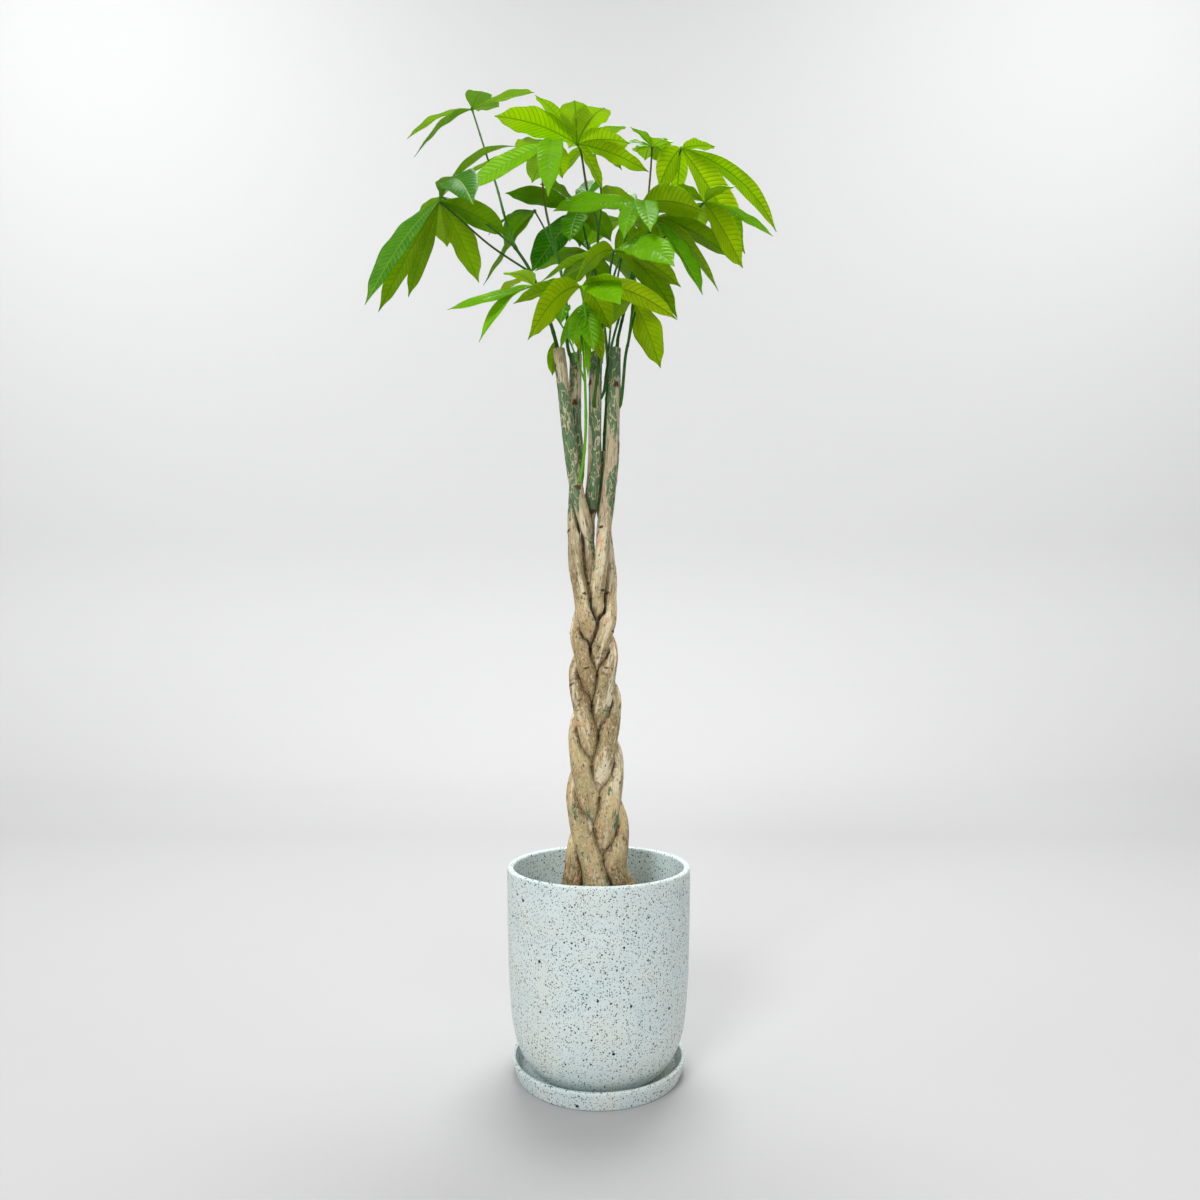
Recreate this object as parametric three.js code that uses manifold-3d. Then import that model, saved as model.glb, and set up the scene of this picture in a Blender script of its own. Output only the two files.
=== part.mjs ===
// A potted money tree: a speckled stone-look pot on its saucer, potting mix, five plaited
// trunks, and leafy shoots that carry hand-shaped compound leaves. Millimetres, +Z up, with
// the middle of the saucer's flat underside at the origin and the viewing side towards -Y.

import * as THREE from "three";
import { mergeVertices } from "three/addons/utils/BufferGeometryUtils.js";
import Module from "manifold-3d";

const wasm = await Module();
wasm.setup();

// Driving dimensions
const GAP = 0.3;
const TRUNK_GAP = 0.36;
const POT_RADIUS = 140;
const POT_TOP = 304;
const POT_WALL = 9.5;
const POT_FLOOR = 14;
const DRAIN_RADIUS = 11;
const SAUCER_RADIUS = 130;
const SAUCER_FOOT = 123;
const SAUCER_HEIGHT = 27;
const SAUCER_WALL = 5.5;
const SAUCER_FLOOR = 6;
const SOIL_TOP = 236;
const TRUNK_FOOT = 165;
const RING_BLEND_FROM = 235;
const RING_BLEND_TO = 315;
const PLAIT_TOP = 700;
const PLAIT_TURN = 467;
const PHASE_HEIGHT = 622;
const PHASE_FLOOR = 300;
const BLADE_THICKNESS = 0.8;
const HUB_RADIUS = 3;

// The eye of the front view: leaf points are written as they look from here
const EYE_DISTANCE = 1333;
const EYE_HEIGHT = 606;

// Number of sides and steps
const LATHE_SIDES = 28;
const TRUNK_SIDES = 8;
const TRUNK_STEPS = 24;
const STALK_SIDES = 5;

function material(colour, roughness) {
  return new THREE.MeshStandardMaterial({ color: colour, roughness, metalness: 0 });
}

const stoneLook = material("#d3ddda", 0.55);
const soilLook = material("#4a3b2c", 0.95);
const barkLook = material("#a08f72", 0.8);
const leafLook = material("#6aa80c", 0.45);
leafLook.side = THREE.DoubleSide;

// Closed geometry with only its positions, shared vertices merged, as a solid
function toSolid(geometry) {
  const bare = geometry.clone();
  bare.deleteAttribute("normal");
  bare.deleteAttribute("uv");
  const merged = mergeVertices(bare, 1e-4);
  return new wasm.Manifold(new wasm.Mesh({
    numProp: 3,
    vertProperties: new Float32Array(merged.attributes.position.array),
    triVerts: new Uint32Array(merged.index.array),
  }));
}

// The solid without the slivers that cuts leave along their edges
function withoutSlivers(solid) {
  return solid.asOriginal().simplify(GAP / 2);
}

// The largest single body of a solid, as a geometry
function toGeometry(solid) {
  const bodies = solid.decompose().sort((p, q) => q.volume() - p.volume());
  const mesh = bodies[0].getMesh();
  const geometry = new THREE.BufferGeometry();
  geometry.setAttribute("position", new THREE.BufferAttribute(mesh.vertProperties, 3));
  geometry.setIndex(new THREE.BufferAttribute(mesh.triVerts, 1));
  geometry.computeVertexNormals();
  return geometry;
}

function smoothstep(from, to, value) {
  const t = Math.min(1, Math.max(0, (value - from) / (to - from)));
  return t * t * (3 - 2 * t);
}

// Straight-line interpolation in a short list of [position, value] pairs
function along(pairs, position) {
  if (position <= pairs[0][0]) return pairs[0][1];
  for (let i = 1; i < pairs.length; i++) {
    const [to, value] = pairs[i];
    if (position <= to) {
      const [from, before] = pairs[i - 1];
      return before + (value - before) * (position - from) / (to - from);
    }
  }
  return pairs[pairs.length - 1][1];
}

// Turned solid about Z from its profile of [radius, height] points
function turned(profile, sides = LATHE_SIDES) {
  const points = profile.map(([radius, height]) => new THREE.Vector2(radius, height));
  const geometry = new THREE.LatheGeometry(points, sides);
  geometry.rotateX(Math.PI / 2);
  return geometry;
}

// Saucer: a shallow dish with a rounded lip that leans out a little
function saucerSolid() {
  const lip = SAUCER_WALL / 2;
  const inner = SAUCER_RADIUS - SAUCER_WALL;
  return toSolid(turned([
    [0, 0],
    [SAUCER_FOOT - 2, 0],
    [SAUCER_FOOT, 1.5],
    [SAUCER_RADIUS, SAUCER_HEIGHT - lip],
    [SAUCER_RADIUS - 0.8, SAUCER_HEIGHT - 0.8],
    [SAUCER_RADIUS - lip, SAUCER_HEIGHT],
    [inner + 0.8, SAUCER_HEIGHT - 0.8],
    [inner, SAUCER_HEIGHT - lip],
    [SAUCER_FOOT - SAUCER_WALL, SAUCER_FLOOR + 3],
    [SAUCER_FOOT - SAUCER_WALL - 4, SAUCER_FLOOR],
    [0, SAUCER_FLOOR],
  ]));
}

// Outer half of the pot's profile, from its foot to its rim: nearly straight, rounded in below
const POT_PROFILE = [
  [80, 0],
  [96, 5],
  [109, 17],
  [124, 47],
  [128.5, 64],
  [134.5, 120],
  [137, 160],
  [139, 230],
];

// Pot: standing on the saucer's floor, with one drainage hole
function potSolid() {
  const height = POT_TOP - SAUCER_FLOOR - GAP;
  const round = POT_WALL / 2;
  const outer = POT_PROFILE.concat([
    [POT_RADIUS, height - round],
    [POT_RADIUS - 1.4, height - 1.4],
    [POT_RADIUS - round, height],
    [POT_RADIUS - POT_WALL + 1.4, height - 1.4],
    [POT_RADIUS - POT_WALL, height - round],
  ]);
  const inner = [
    [POT_RADIUS - POT_WALL - 6, 110],
    [114, 50],
    [98, 24],
    [80, POT_FLOOR],
    [DRAIN_RADIUS, POT_FLOOR],
    [DRAIN_RADIUS, 0],
  ];
  const profile = outer.concat(inner);
  profile.push(profile[0]);
  return toSolid(turned(profile).translate(0, 0, SAUCER_FLOOR + GAP));
}

// Potting mix: fills the pot to below its rim, a little hollow by the wall
function soilSolid() {
  const base = SAUCER_FLOOR + GAP;
  const clear = GAP + 0.4;
  return toSolid(turned([
    [0, base + POT_FLOOR + GAP],
    [79, base + POT_FLOOR + GAP],
    [97 - clear, base + 24 + GAP],
    [113 - clear, base + 50],
    [POT_RADIUS - POT_WALL - 6 - clear, base + 110],
    [POT_RADIUS - POT_WALL - 3 - clear, SOIL_TOP - 3],
    [100, SOIL_TOP],
    [60, SOIL_TOP + 1.5],
    [0, SOIL_TOP + 2],
  ]));
}

// Trunk width by height: a swollen foot, then a steady taper
const TRUNK_WIDTH = [
  [150, 44],
  [250, 46],
  [270, 43.5],
  [300, 40],
  [340, 37.5],
  [395, 35.5],
  [475, 33],
  [560, 30],
  [636, 27],
  [700, 25],
  [776, 22.5],
  [935, 22],
  [1115, 19],
];

// Trunk depth as a share of its width: the trunks are pressed flat in the plait
const TRUNK_FLATNESS = [
  [260, 1],
  [320, 0.75],
  [640, 0.75],
  [760, 1],
];

// The five trunks: start is where in the plait each one is, in degrees, at PHASE_HEIGHT;
// ring is its foot in the soil; free is its way [across, back, height] above the plait
const TRUNKS = {
  trunk_a: {
    start: 348,
    ring: [4, -36],
    free: [
      [-1.5, 10, 716],
      [-9, 8, 740],
      [-14, 8, 768],
      [-18, 7, 805],
      [-22, -4, 838],
      [-34, -12, 884],
      [-42, -11, 934],
      [-51, -10, 1001],
      [-58, -12, 1062],
      [-64, -14, 1114],
    ],
  },
  trunk_b: {
    start: 276,
    ring: [-44, -6],
    free: [
      [-27, -18, 716],
      [-31, -12, 740],
      [-36, -7, 768],
      [-38, -1, 805],
      [-39, 8, 838],
      [-38, 14, 884],
      [-34, 16, 934],
      [-38, 16, 1001],
      [-38, 16, 1062],
      [-38, 14, 1116],
    ],
  },
  trunk_c: {
    start: 204,
    ring: [-22, 36],
    free: [
      [-26, 22, 716],
      [-22, 28, 740],
      [-21, 32, 768],
      [-19, 30, 805],
      [-17, 21, 838],
      [-11, 2, 884],
      [-7, -3, 934],
      [-6, -5, 1001],
      [-5, -6, 1062],
      [-4, -8, 1110],
    ],
  },
  trunk_d: {
    start: 132,
    ring: [49, -8],
    free: [
      [-4, -12, 716],
      [-1, -16, 740],
      [3, -17, 768],
      [7, -16, 805],
      [10, -14, 838],
      [16, -12, 884],
      [21, -10, 934],
      [23, -10, 1001],
      [25, -10, 1062],
      [26, -10, 1116],
    ],
  },
  trunk_e: {
    start: 60,
    ring: [24, 36],
    free: [
      [16, 2, 716],
      [17, 9, 740],
      [16, 13, 768],
      [12, 15, 805],
      [8, 18, 838],
      [7, 24, 884],
      [8, 24, 955],
    ],
  },
};

// How far the plait's middle stands left of the pot's middle, by height
const PLAIT_SHIFT = [
  [330, 0],
  [420, -5],
  [560, -6],
  [640, -8],
];

// How far the middle line of a strand swings to either side in the plait, by height
const PLAIT_SWING = [
  [300, 31],
  [340, 30],
  [395, 28.5],
  [475, 26.5],
  [560, 25.5],
  [636, 24.5],
];

// Share of its way that a strand spends in front, going in from either edge, by height
const FRONT_SHARE = [
  [600, 0.68],
  [680, 0.5],
];

// How nearly straight a strand goes across, how squarely it changes between front and back,
// and how far it goes to the front and back as a share of its swing
const STRAIGHTNESS = 0.13;
const SQUARENESS = 2;
const PLAIT_DEPTH = 0.76;

// Five-strand flat plait: each strand swings from side to side once a turn, nearly straight
// from edge to edge, and to the front and back twice a turn, in front on its long way in from
// either edge and behind on its short way out
function plaitPoint(start, height) {
  const turns = start / 180 + 2 / PLAIT_TURN * (PHASE_HEIGHT - Math.max(height, PHASE_FLOOR));
  const share = along(FRONT_SHARE, height);
  const half = Math.floor(turns + share - 0.5);
  const part = turns + share - 0.5 - half;
  const quarter = part < share ? part / share : 1 + (part - share) / (1 - share);
  const angle = Math.PI / 2 * (2 * half + quarter);
  const swing = along(PLAIT_SWING, height);
  const across = (Math.cos(angle) + STRAIGHTNESS * Math.cos(3 * angle)) / (1 + STRAIGHTNESS);
  const back = -Math.tanh(SQUARENESS * Math.sin(2 * angle)) / Math.tanh(SQUARENESS);
  return [along(PLAIT_SHIFT, height) + swing * across, PLAIT_DEPTH * swing * back];
}

// A trunk's middle line; extra lengthens it that much at both ends
function trunkCurve({ start, ring, free }, extra) {
  const points = [];
  for (let height = TRUNK_FOOT; height < PLAIT_TOP + 15; height += 19) {
    const weight = smoothstep(RING_BLEND_FROM, RING_BLEND_TO, height);
    const [x, y] = plaitPoint(start, height);
    points.push(new THREE.Vector3(
      ring[0] + (x - ring[0]) * weight,
      ring[1] + (y - ring[1]) * weight,
      height,
    ));
  }
  for (const point of free) points.push(new THREE.Vector3(...point));
  points[0].z -= extra;
  points[points.length - 1].z += extra;
  return new THREE.CatmullRomCurve3(points, false, "catmullrom", 0.5);
}

// A straight closed cylinder bent along a curve, its half width and half depth given by place
// along it. The section keeps its first side turned to the same world direction all the way.
function bentTube(curve, sides, steps, sectionAt, front) {
  const geometry = new THREE.CylinderGeometry(1, 1, 1, sides, steps);
  const position = geometry.attributes.position;
  const vertex = new THREE.Vector3();
  for (let i = 0; i < position.count; i++) {
    vertex.fromBufferAttribute(position, i);
    const t = THREE.MathUtils.clamp(vertex.y + 0.5, 0, 1);
    const centre = curve.getPoint(t);
    const ahead = curve.getTangent(t);
    const side = new THREE.Vector3().crossVectors(front, ahead).normalize();
    const out = new THREE.Vector3().crossVectors(ahead, side);
    const [width, depth] = sectionAt(centre, t);
    centre.addScaledVector(side, vertex.x * width);
    centre.addScaledVector(out, -vertex.z * depth);
    position.setXYZ(i, centre.x, centre.y, centre.z);
  }
  return toSolid(geometry);
}

const FRONT = new THREE.Vector3(0, -1, 0);
const UP = new THREE.Vector3(0, 0, 1);

function trunkSolid(trunk, extra = 0) {
  const section = ({ z }) => {
    const width = along(TRUNK_WIDTH, z) / 2;
    return [width + extra, width * along(TRUNK_FLATNESS, z) + extra];
  };
  return bentTube(trunkCurve(trunk, extra), TRUNK_SIDES, TRUNK_STEPS, section, FRONT);
}

// A point written as it looks from the front: across and height where its sight line meets
// the plane through the trunks, and its depth behind (+) or before (-) that plane
function seen([across, height, depth]) {
  const reach = (EYE_DISTANCE + depth) / EYE_DISTANCE;
  return new THREE.Vector3(across * reach, depth, EYE_HEIGHT + (height - EYE_HEIGHT) * reach);
}

// Half widths of a leaflet along its length, as shares of its greatest half width
const OUTLINE = [
  [0, 0.06],
  [0.18, 0.4],
  [0.38, 0.85],
  [0.6, 1],
  [0.82, 0.7],
  [1, 0.03],
];

// One leaflet: a thin blade from hub to tip. arch lifts its middle above the straight line,
// bend is where along it the arch is, and roll, in degrees, turns it about its length.
function leafletSolid(hub, [across, height, depth, width, arch, roll, bend = 0.45]) {
  const tip = seen([across, height, depth]);
  const middle = hub.clone().lerp(tip, bend).addScaledVector(UP, 2 * arch);
  const curve = new THREE.QuadraticBezierCurve3(hub, middle, tip);
  const level = new THREE.Vector3(tip.x - hub.x, tip.y - hub.y, 0).normalize();
  const flatSide = new THREE.Vector3().crossVectors(level, UP);
  const angle = THREE.MathUtils.degToRad(roll);
  const vertices = [];
  for (const [t, share] of OUTLINE) {
    const ahead = curve.getTangent(t);
    const flatUp = new THREE.Vector3().crossVectors(flatSide, ahead).normalize();
    const side = flatSide.clone().multiplyScalar(Math.cos(angle))
      .addScaledVector(flatUp, Math.sin(angle));
    const up = flatUp.clone().multiplyScalar(Math.cos(angle))
      .addScaledVector(flatSide, -Math.sin(angle));
    const half = width / 2 * share;
    const centre = curve.getPoint(t);
    for (const lift of [BLADE_THICKNESS / 2, -BLADE_THICKNESS / 2]) {
      for (const across of [-half, half]) {
        const point = centre.clone().addScaledVector(side, across).addScaledVector(up, lift);
        vertices.push(point.x, point.y, point.z);
      }
    }
  }
  return bladeSolid(vertices, OUTLINE.length);
}

// Joins the rows of a blade, two points on its upper face and two below, into one solid,
// with the same split into triangles on both faces
function bladeSolid(vertices, rows) {
  const faces = [];
  const quad = (a, b, c, d) => faces.push(a, b, c, a, c, d);
  for (let row = 0; row + 1 < rows; row++) {
    const here = row * 4;
    const next = here + 4;
    quad(here, here + 1, next + 1, next);
    faces.push(here + 2, next + 3, here + 3, here + 2, next + 2, next + 3);
    quad(here + 2, here, next, next + 2);
    quad(here + 1, here + 3, next + 3, next + 1);
  }
  const last = (rows - 1) * 4;
  quad(0, 2, 3, 1);
  quad(last + 1, last + 3, last + 2, last);
  const geometry = new THREE.BufferGeometry();
  geometry.setAttribute("position", new THREE.Float32BufferAttribute(vertices, 3));
  geometry.setIndex(faces);
  return toSolid(geometry);
}

// A stalk through points seen from the front, from its first radius to its last
function stalkSolid({ from, to, path }) {
  const curve = new THREE.CatmullRomCurve3(path.map(seen), false, "catmullrom", 0.5);
  const section = (centre, t) => {
    const radius = from + (to - from) * t;
    return [radius, radius];
  };
  const ahead = curve.getTangent(0.5);
  const front = Math.abs(ahead.y) > 0.8 ? UP : FRONT;
  return bentTube(curve, STALK_SIDES, 2 * (path.length - 1), section, front);
}

function hubSolid(centre) {
  const geometry = new THREE.IcosahedronGeometry(HUB_RADIUS, 0);
  return toSolid(geometry.translate(centre.x, centre.y, centre.z));
}

// Leafy shoots, written by hand. Every point is [across, height, depth] as seen from the front.
// A stalk has its radius at either end and its path; a leaf has its hub and its leaflets, each
// [across, height, depth] of the tip, then width, arch, roll and at times bend; root is the
// trunk it grows on.
const SHOOTS = {
  shoot_left: {
    root: "trunk_a",
    stalks: [
      {
        from: 3.4,
        to: 2.4,
        path: [[-63, 1100, -14], [-67, 1122, -15], [-81, 1171, -18], [-110, 1247, -30], [-137, 1291, -32]],
      },
      {
        from: 2.4,
        to: 1.3,
        path: [[-137, 1291, -32], [-152, 1335, -28], [-167, 1391, -22], [-184, 1445, -16], [-210, 1528, -10]],
      },
      { from: 1.8, to: 1.5, path: [[-137, 1291, -32], [-178, 1325, -20], [-218, 1354, 0], [-259, 1377, 15]] },
      { from: 1.8, to: 1.5, path: [[-110, 1247, -30], [-178, 1294, -42], [-240, 1350, -52], [-262, 1368, -55]] },
    ],
    leaves: [
      {
        hub: [-210, 1528, -10],
        leaflets: [
          [-317, 1476, 45, 36, 12, 30],
          [-304, 1445, -60, 36, 14, -5],
          [-190, 1558, -120, 40, 8, 0],
          [-107, 1557, 60, 34, 6, 0],
          [-165, 1532, 70, 30, 4, 20],
        ],
      },
      {
        hub: [-259, 1377, 15],
        leaflets: [
          [-135, 1463, -60, 32, 26, -22],
          [-151, 1450, 60, 24, 8, -5],
          [-240, 1411, -85, 36, 10, -20],
          [-290, 1310, 110, 36, 10, 0],
          [-225, 1300, 140, 44, 15, 0],
        ],
      },
      {
        hub: [-262, 1368, -55],
        leaflets: [
          [-380, 1193, -110, 46, 18, 40],
          [-358, 1181, -15, 40, 8, -10],
          [-310, 1206, 35, 34, 4, 10],
          [-248, 1291, 80, 50, 10, 0],
          [-195, 1230, 10, 48, 10, 10],
          [-150, 1310, -10, 44, 8, 30],
          [-205, 1362, -190, 54, 38, -40],
        ],
      },
      {
        hub: [-70, 1135, -15],
        leaflets: [
          [-75, 1075, 15, 22, 4, 0],
        ],
      },
    ],
  },
  shoot_upper_left: {
    root: "trunk_b",
    stalks: [
      {
        from: 3,
        to: 1.5,
        path: [
          [-43, 1098, 12],
          [-50, 1122, 6],
          [-52, 1151, 0],
          [-52, 1190, -4],
          [-66, 1270, -10],
          [-86, 1350, -18],
          [-92, 1420, -36],
          [-76, 1470, -82],
        ],
      },
      { from: 1.6, to: 1.4, path: [[-66, 1270, -10], [-88, 1320, -10], [-105, 1352, -5]] },
    ],
    leaves: [
      {
        hub: [-76, 1470, -82],
        leaflets: [
          [-83, 1376, -150, 40, 30, 0],
          [-218, 1386, -85, 42, 8, 70],
          [-137, 1456, 10, 40, 4, 0],
          [-60, 1408, 20, 36, 6, 0],
          [-110, 1400, 60, 44, 6, 0],
        ],
      },
      {
        hub: [-105, 1352, -5],
        leaflets: [
          [-181, 1311, 25, 26, 12, 30],
          [-188, 1226, 30, 34, 5, 25],
          [-155, 1290, 60, 40, 16, 0],
        ],
      },
      {
        hub: [-52, 1190, -4],
        leaflets: [
          [-62, 1160, -25, 26, 10, 0],
        ],
      },
    ],
  },
  shoot_front: {
    root: "trunk_a",
    stalks: [
      {
        from: 2.6,
        to: 1.5,
        path: [
          [-37, 894, -12],
          [-28, 912, -28],
          [-21, 983, -34],
          [-22, 1066, -44],
          [-24, 1110, -52],
          [-20, 1165, -68],
          [-29, 1223, -92],
        ],
      },
      { from: 1.5, to: 1.3, path: [[-22, 1066, -44], [-50, 1140, -55], [-74, 1180, -62], [-105, 1225, -70]] },
      { from: 1.5, to: 1.3, path: [[-24, 1110, -52], [-30, 1160, -58], [-24, 1196, -55]] },
    ],
    leaves: [
      {
        hub: [-29, 1223, -92],
        leaflets: [
          [36, 1193, -165, 50, 14, -45],
          [128, 1168, -70, 38, 20, 30],
          [-115, 1134, -150, 54, 22, -55],
          [-139, 1195, -120, 36, 10, -15],
          [20, 1150, -50, 50, 14, 0],
          [52, 1232, -172, 36, 6, 0],
        ],
      },
      {
        hub: [-105, 1225, -70],
        leaflets: [
          [-246, 1185, -80, 36, 2, 45],
          [-194, 1131, -70, 34, 22, 45],
          [-150, 1246, -170, 40, 8, 0],
          [-165, 1200, 10, 30, 20, 20],
        ],
      },
      {
        hub: [-24, 1196, -55],
        leaflets: [
          [-42, 1126, -80, 30, 6, 20],
          [-63, 1118, -40, 26, 8, 60],
          [-8, 1115, -85, 32, 8, -20],
          [-17, 1071, -70, 20, 4, 30],
          [7, 1095, -40, 36, 8, 10],
          [-30, 1110, 0, 32, 10, 0],
        ],
      },
    ],
  },
  shoot_top: {
    root: "trunk_b",
    stalks: [
      {
        from: 3,
        to: 1.5,
        path: [
          [-33, 1098, 18],
          [-31, 1130, 24],
          [-20, 1200, 28],
          [-1, 1311, 20],
          [-19, 1388, 5],
          [-29, 1451, -12],
          [-36, 1467, -20],
        ],
      },
      { from: 1.6, to: 1.4, path: [[-1, 1311, 20], [4, 1379, 28], [-10, 1470, 40]] },
    ],
    leaves: [
      {
        hub: [-36, 1467, -20],
        leaflets: [
          [-173, 1516, -90, 56, 10, -12],
          [-105, 1552, -130, 40, 10, 25],
          [-40, 1543, -165, 48, 12, 0],
          [10, 1530, -160, 52, 12, 0],
          [52, 1468, -80, 46, 8, 15],
          [83, 1419, -40, 46, 8, 10],
          [7, 1388, 0, 34, 8, -5],
        ],
      },
      {
        hub: [-10, 1470, 40],
        leaflets: [
          [42, 1498, -50, 42, 6, -12],
          [38, 1422, 60, 36, 14, 0],
          [-64, 1410, 80, 36, 10, 20],
          [28, 1445, 140, 44, 12, 0],
          [-50, 1460, 160, 44, 12, 0],
        ],
      },
    ],
  },
  shoot_middle: {
    root: "trunk_c",
    stalks: [
      {
        from: 2.8,
        to: 1.6,
        path: [
          [-6, 1018, -8],
          [-7, 1036, -21],
          [-1, 1085, -28],
          [4, 1138, -36],
          [8, 1180, -42],
          [20, 1260, -68],
          [25, 1284, -76],
        ],
      },
      { from: 1.8, to: 1.5, path: [[8, 1180, -42], [30, 1260, -44], [52, 1330, -42], [69, 1364, -40]] },
    ],
    leaves: [
      {
        hub: [25, 1284, -76],
        leaflets: [
          [124, 1258, -150, 58, 20, -50],
          [-40, 1228, -165, 42, 16, -55],
          [-94, 1232, -95, 34, 10, 0],
          [-72, 1224, -60, 26, 10, 10],
          [128, 1171, -40, 46, 22, 20],
          [134, 1223, -80, 48, 12, 20],
        ],
      },
      {
        hub: [69, 1364, -40],
        leaflets: [
          [-75, 1352, -110, 52, 8, 55],
          [41, 1304, -125, 38, 20, 0],
          [85, 1316, -135, 38, 20, 0],
          [171, 1352, -110, 60, 10, 30],
          [0, 1376, 70, 42, 6, -30],
        ],
      },
    ],
  },
  shoot_right_inner: {
    root: "trunk_c",
    stalks: [
      {
        from: 2.6,
        to: 1.4,
        path: [
          [-3, 1030, -7],
          [8, 1048, -5],
          [13, 1085, 0],
          [19, 1118, 6],
          [28, 1154, 12],
          [50, 1230, 22],
          [75, 1330, 12],
          [84, 1405, 0],
          [88, 1462, -10],
        ],
      },
    ],
    leaves: [
      {
        hub: [88, 1462, -10],
        leaflets: [
          [53, 1496, -75, 32, 4, 30],
          [48, 1469, -20, 30, 4, 40],
          [118, 1471, -75, 34, 5, 0],
          [61, 1453, 50, 34, 8, 30],
          [76, 1439, 80, 42, 10, 0],
          [114, 1434, 30, 38, 10, 30],
        ],
      },
    ],
  },
  shoot_right: {
    root: "trunk_d",
    stalks: [
      {
        from: 3.2,
        to: 1.5,
        path: [
          [26, 1100, -10],
          [30, 1126, -8],
          [34, 1151, -2],
          [60, 1250, 15],
          [105, 1370, 10],
          [136, 1460, -20],
        ],
      },
      { from: 1.7, to: 1.5, path: [[60, 1250, 15], [110, 1310, 0], [150, 1345, -30], [174, 1367, -60]] },
    ],
    leaves: [
      {
        hub: [136, 1460, -20],
        leaflets: [
          [192, 1463, -85, 32, 3, 10],
          [291, 1316, -70, 38, 33, 28, 0.72],
          [239, 1279, -40, 58, 12, 40],
          [98, 1391, -30, 46, 10, -60],
          [128, 1376, 45, 30, 6, 0],
        ],
      },
      {
        hub: [174, 1367, -60],
        leaflets: [
          [114, 1384, -60, 36, 6, 0],
          [222, 1393, -150, 36, 8, -10],
          [285, 1309, -80, 34, 8, -45],
          [235, 1255, -85, 54, 8, 45],
          [150, 1290, 45, 40, 14, 0],
          [208, 1306, 80, 40, 14, 0],
        ],
      },
    ],
  },
  shoot_right_outer: {
    root: "trunk_d",
    stalks: [
      {
        from: 2.8,
        to: 1.8,
        path: [
          [26, 1014, -10],
          [36, 1034, -14],
          [43, 1105, -26],
          [49, 1138, -34],
          [55, 1191, -46],
          [54, 1205, -52],
        ],
      },
      { from: 1.7, to: 1.5, path: [[49, 1138, -34], [66, 1210, -34], [80, 1290, -34], [87, 1338, -35]] },
    ],
    leaves: [
      {
        hub: [54, 1205, -52],
        leaflets: [
          [100, 1088, -15, 60, 10, 0],
          [4, 1150, 0, 40, 8, 0],
          [95, 1195, 50, 42, 14, 0],
        ],
      },
      {
        hub: [87, 1338, -35],
        leaflets: [
          [216, 1272, -20, 40, 14, 20],
          [169, 1210, -70, 56, 14, -20],
          [195, 1216, -25, 32, 25, 5],
          [150, 1290, 30, 44, 20, 0],
          [72, 1262, -5, 44, 10, 0],
        ],
      },
    ],
  },
  shoot_back: {
    root: "trunk_e",
    stalks: [
      {
        from: 3,
        to: 1.6,
        path: [
          [8, 940, 24],
          [9, 975, 30],
          [14, 1100, 48],
          [0, 1220, 66],
          [-20, 1300, 66],
          [-31, 1354, 50],
        ],
      },
      { from: 1.8, to: 1.6, path: [[14, 1100, 48], [24, 1200, 74], [40, 1290, 100], [45, 1335, 110]] },
      { from: 1.8, to: 1.5, path: [[0, 1220, 66], [-6, 1250, 84], [-12, 1280, 98]] },
    ],
    leaves: [
      {
        hub: [-31, 1354, 50],
        leaflets: [
          [-110, 1248, 40, 60, 5, 60],
          [-97, 1398, 60, 40, 10, 0],
          [-154, 1383, -25, 38, 6, -20],
          [-31, 1290, 130, 50, 20, 0],
          [-2, 1408, 120, 46, 8, 0],
          [-48, 1300, -5, 46, 10, 0],
          [20, 1300, 110, 46, 14, 0],
        ],
      },
      {
        hub: [45, 1335, 110],
        leaflets: [
          [-20, 1290, 190, 48, 18, 0],
          [50, 1225, 160, 50, 20, 0],
          [120, 1270, 150, 50, 20, 0],
          [125, 1350, 140, 46, 16, 0],
          [40, 1385, 200, 46, 12, 0],
        ],
      },
      {
        hub: [-12, 1280, 98],
        leaflets: [
          [-104, 1250, 112, 48, 14, 0],
          [-62, 1204, 150, 48, 14, 10],
          [6, 1192, 150, 48, 14, 0],
          [66, 1222, 128, 46, 14, -10],
          [-60, 1306, 170, 44, 12, 0],
        ],
      },
    ],
  },
};

// One leafy shoot in one piece: stalks, hubs and leaflets joined, cut clear of its trunk
function shootSolid({ stalks, leaves }, trunkGrown) {
  const parts = stalks.map(stalkSolid);
  for (const { hub, leaflets } of leaves) {
    const centre = seen(hub);
    parts.push(hubSolid(centre));
    for (const leaflet of leaflets) parts.push(leafletSolid(centre, leaflet));
  }
  return wasm.Manifold.union(parts).subtract(trunkGrown);
}

function addPiece(group, name, solid, look) {
  const piece = new THREE.Mesh(toGeometry(solid), look.clone());
  piece.name = name;
  group.add(piece);
}

const tree = new THREE.Group();
addPiece(tree, "saucer", saucerSolid(), stoneLook);
addPiece(tree, "pot", potSolid(), stoneLook);

const plant = new THREE.Group();
tree.add(plant);

// Trunks pressed together are flattened against each other: each is cut clear of those before
const trunks = {};
const grown = {};
for (const [name, trunk] of Object.entries(TRUNKS)) {
  grown[name] = trunkSolid(trunk, TRUNK_GAP);
  trunks[name] = trunkSolid(trunk);
  for (const [other, solid] of Object.entries(grown)) {
    if (other !== name) trunks[name] = trunks[name].subtract(solid);
  }
  trunks[name] = withoutSlivers(trunks[name]);
  addPiece(plant, name, trunks[name], barkLook);
}

// The potting mix has a plain hole for every trunk
let soil = soilSolid();
for (const solid of Object.values(grown)) soil = soil.subtract(solid);
soil = withoutSlivers(soil);
addPiece(tree, "soil", soil, soilLook);

for (const [name, shoot] of Object.entries(SHOOTS)) {
  addPiece(plant, name, shootSolid(shoot, grown[shoot.root]), leafLook);
}

export default tree;
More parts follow.
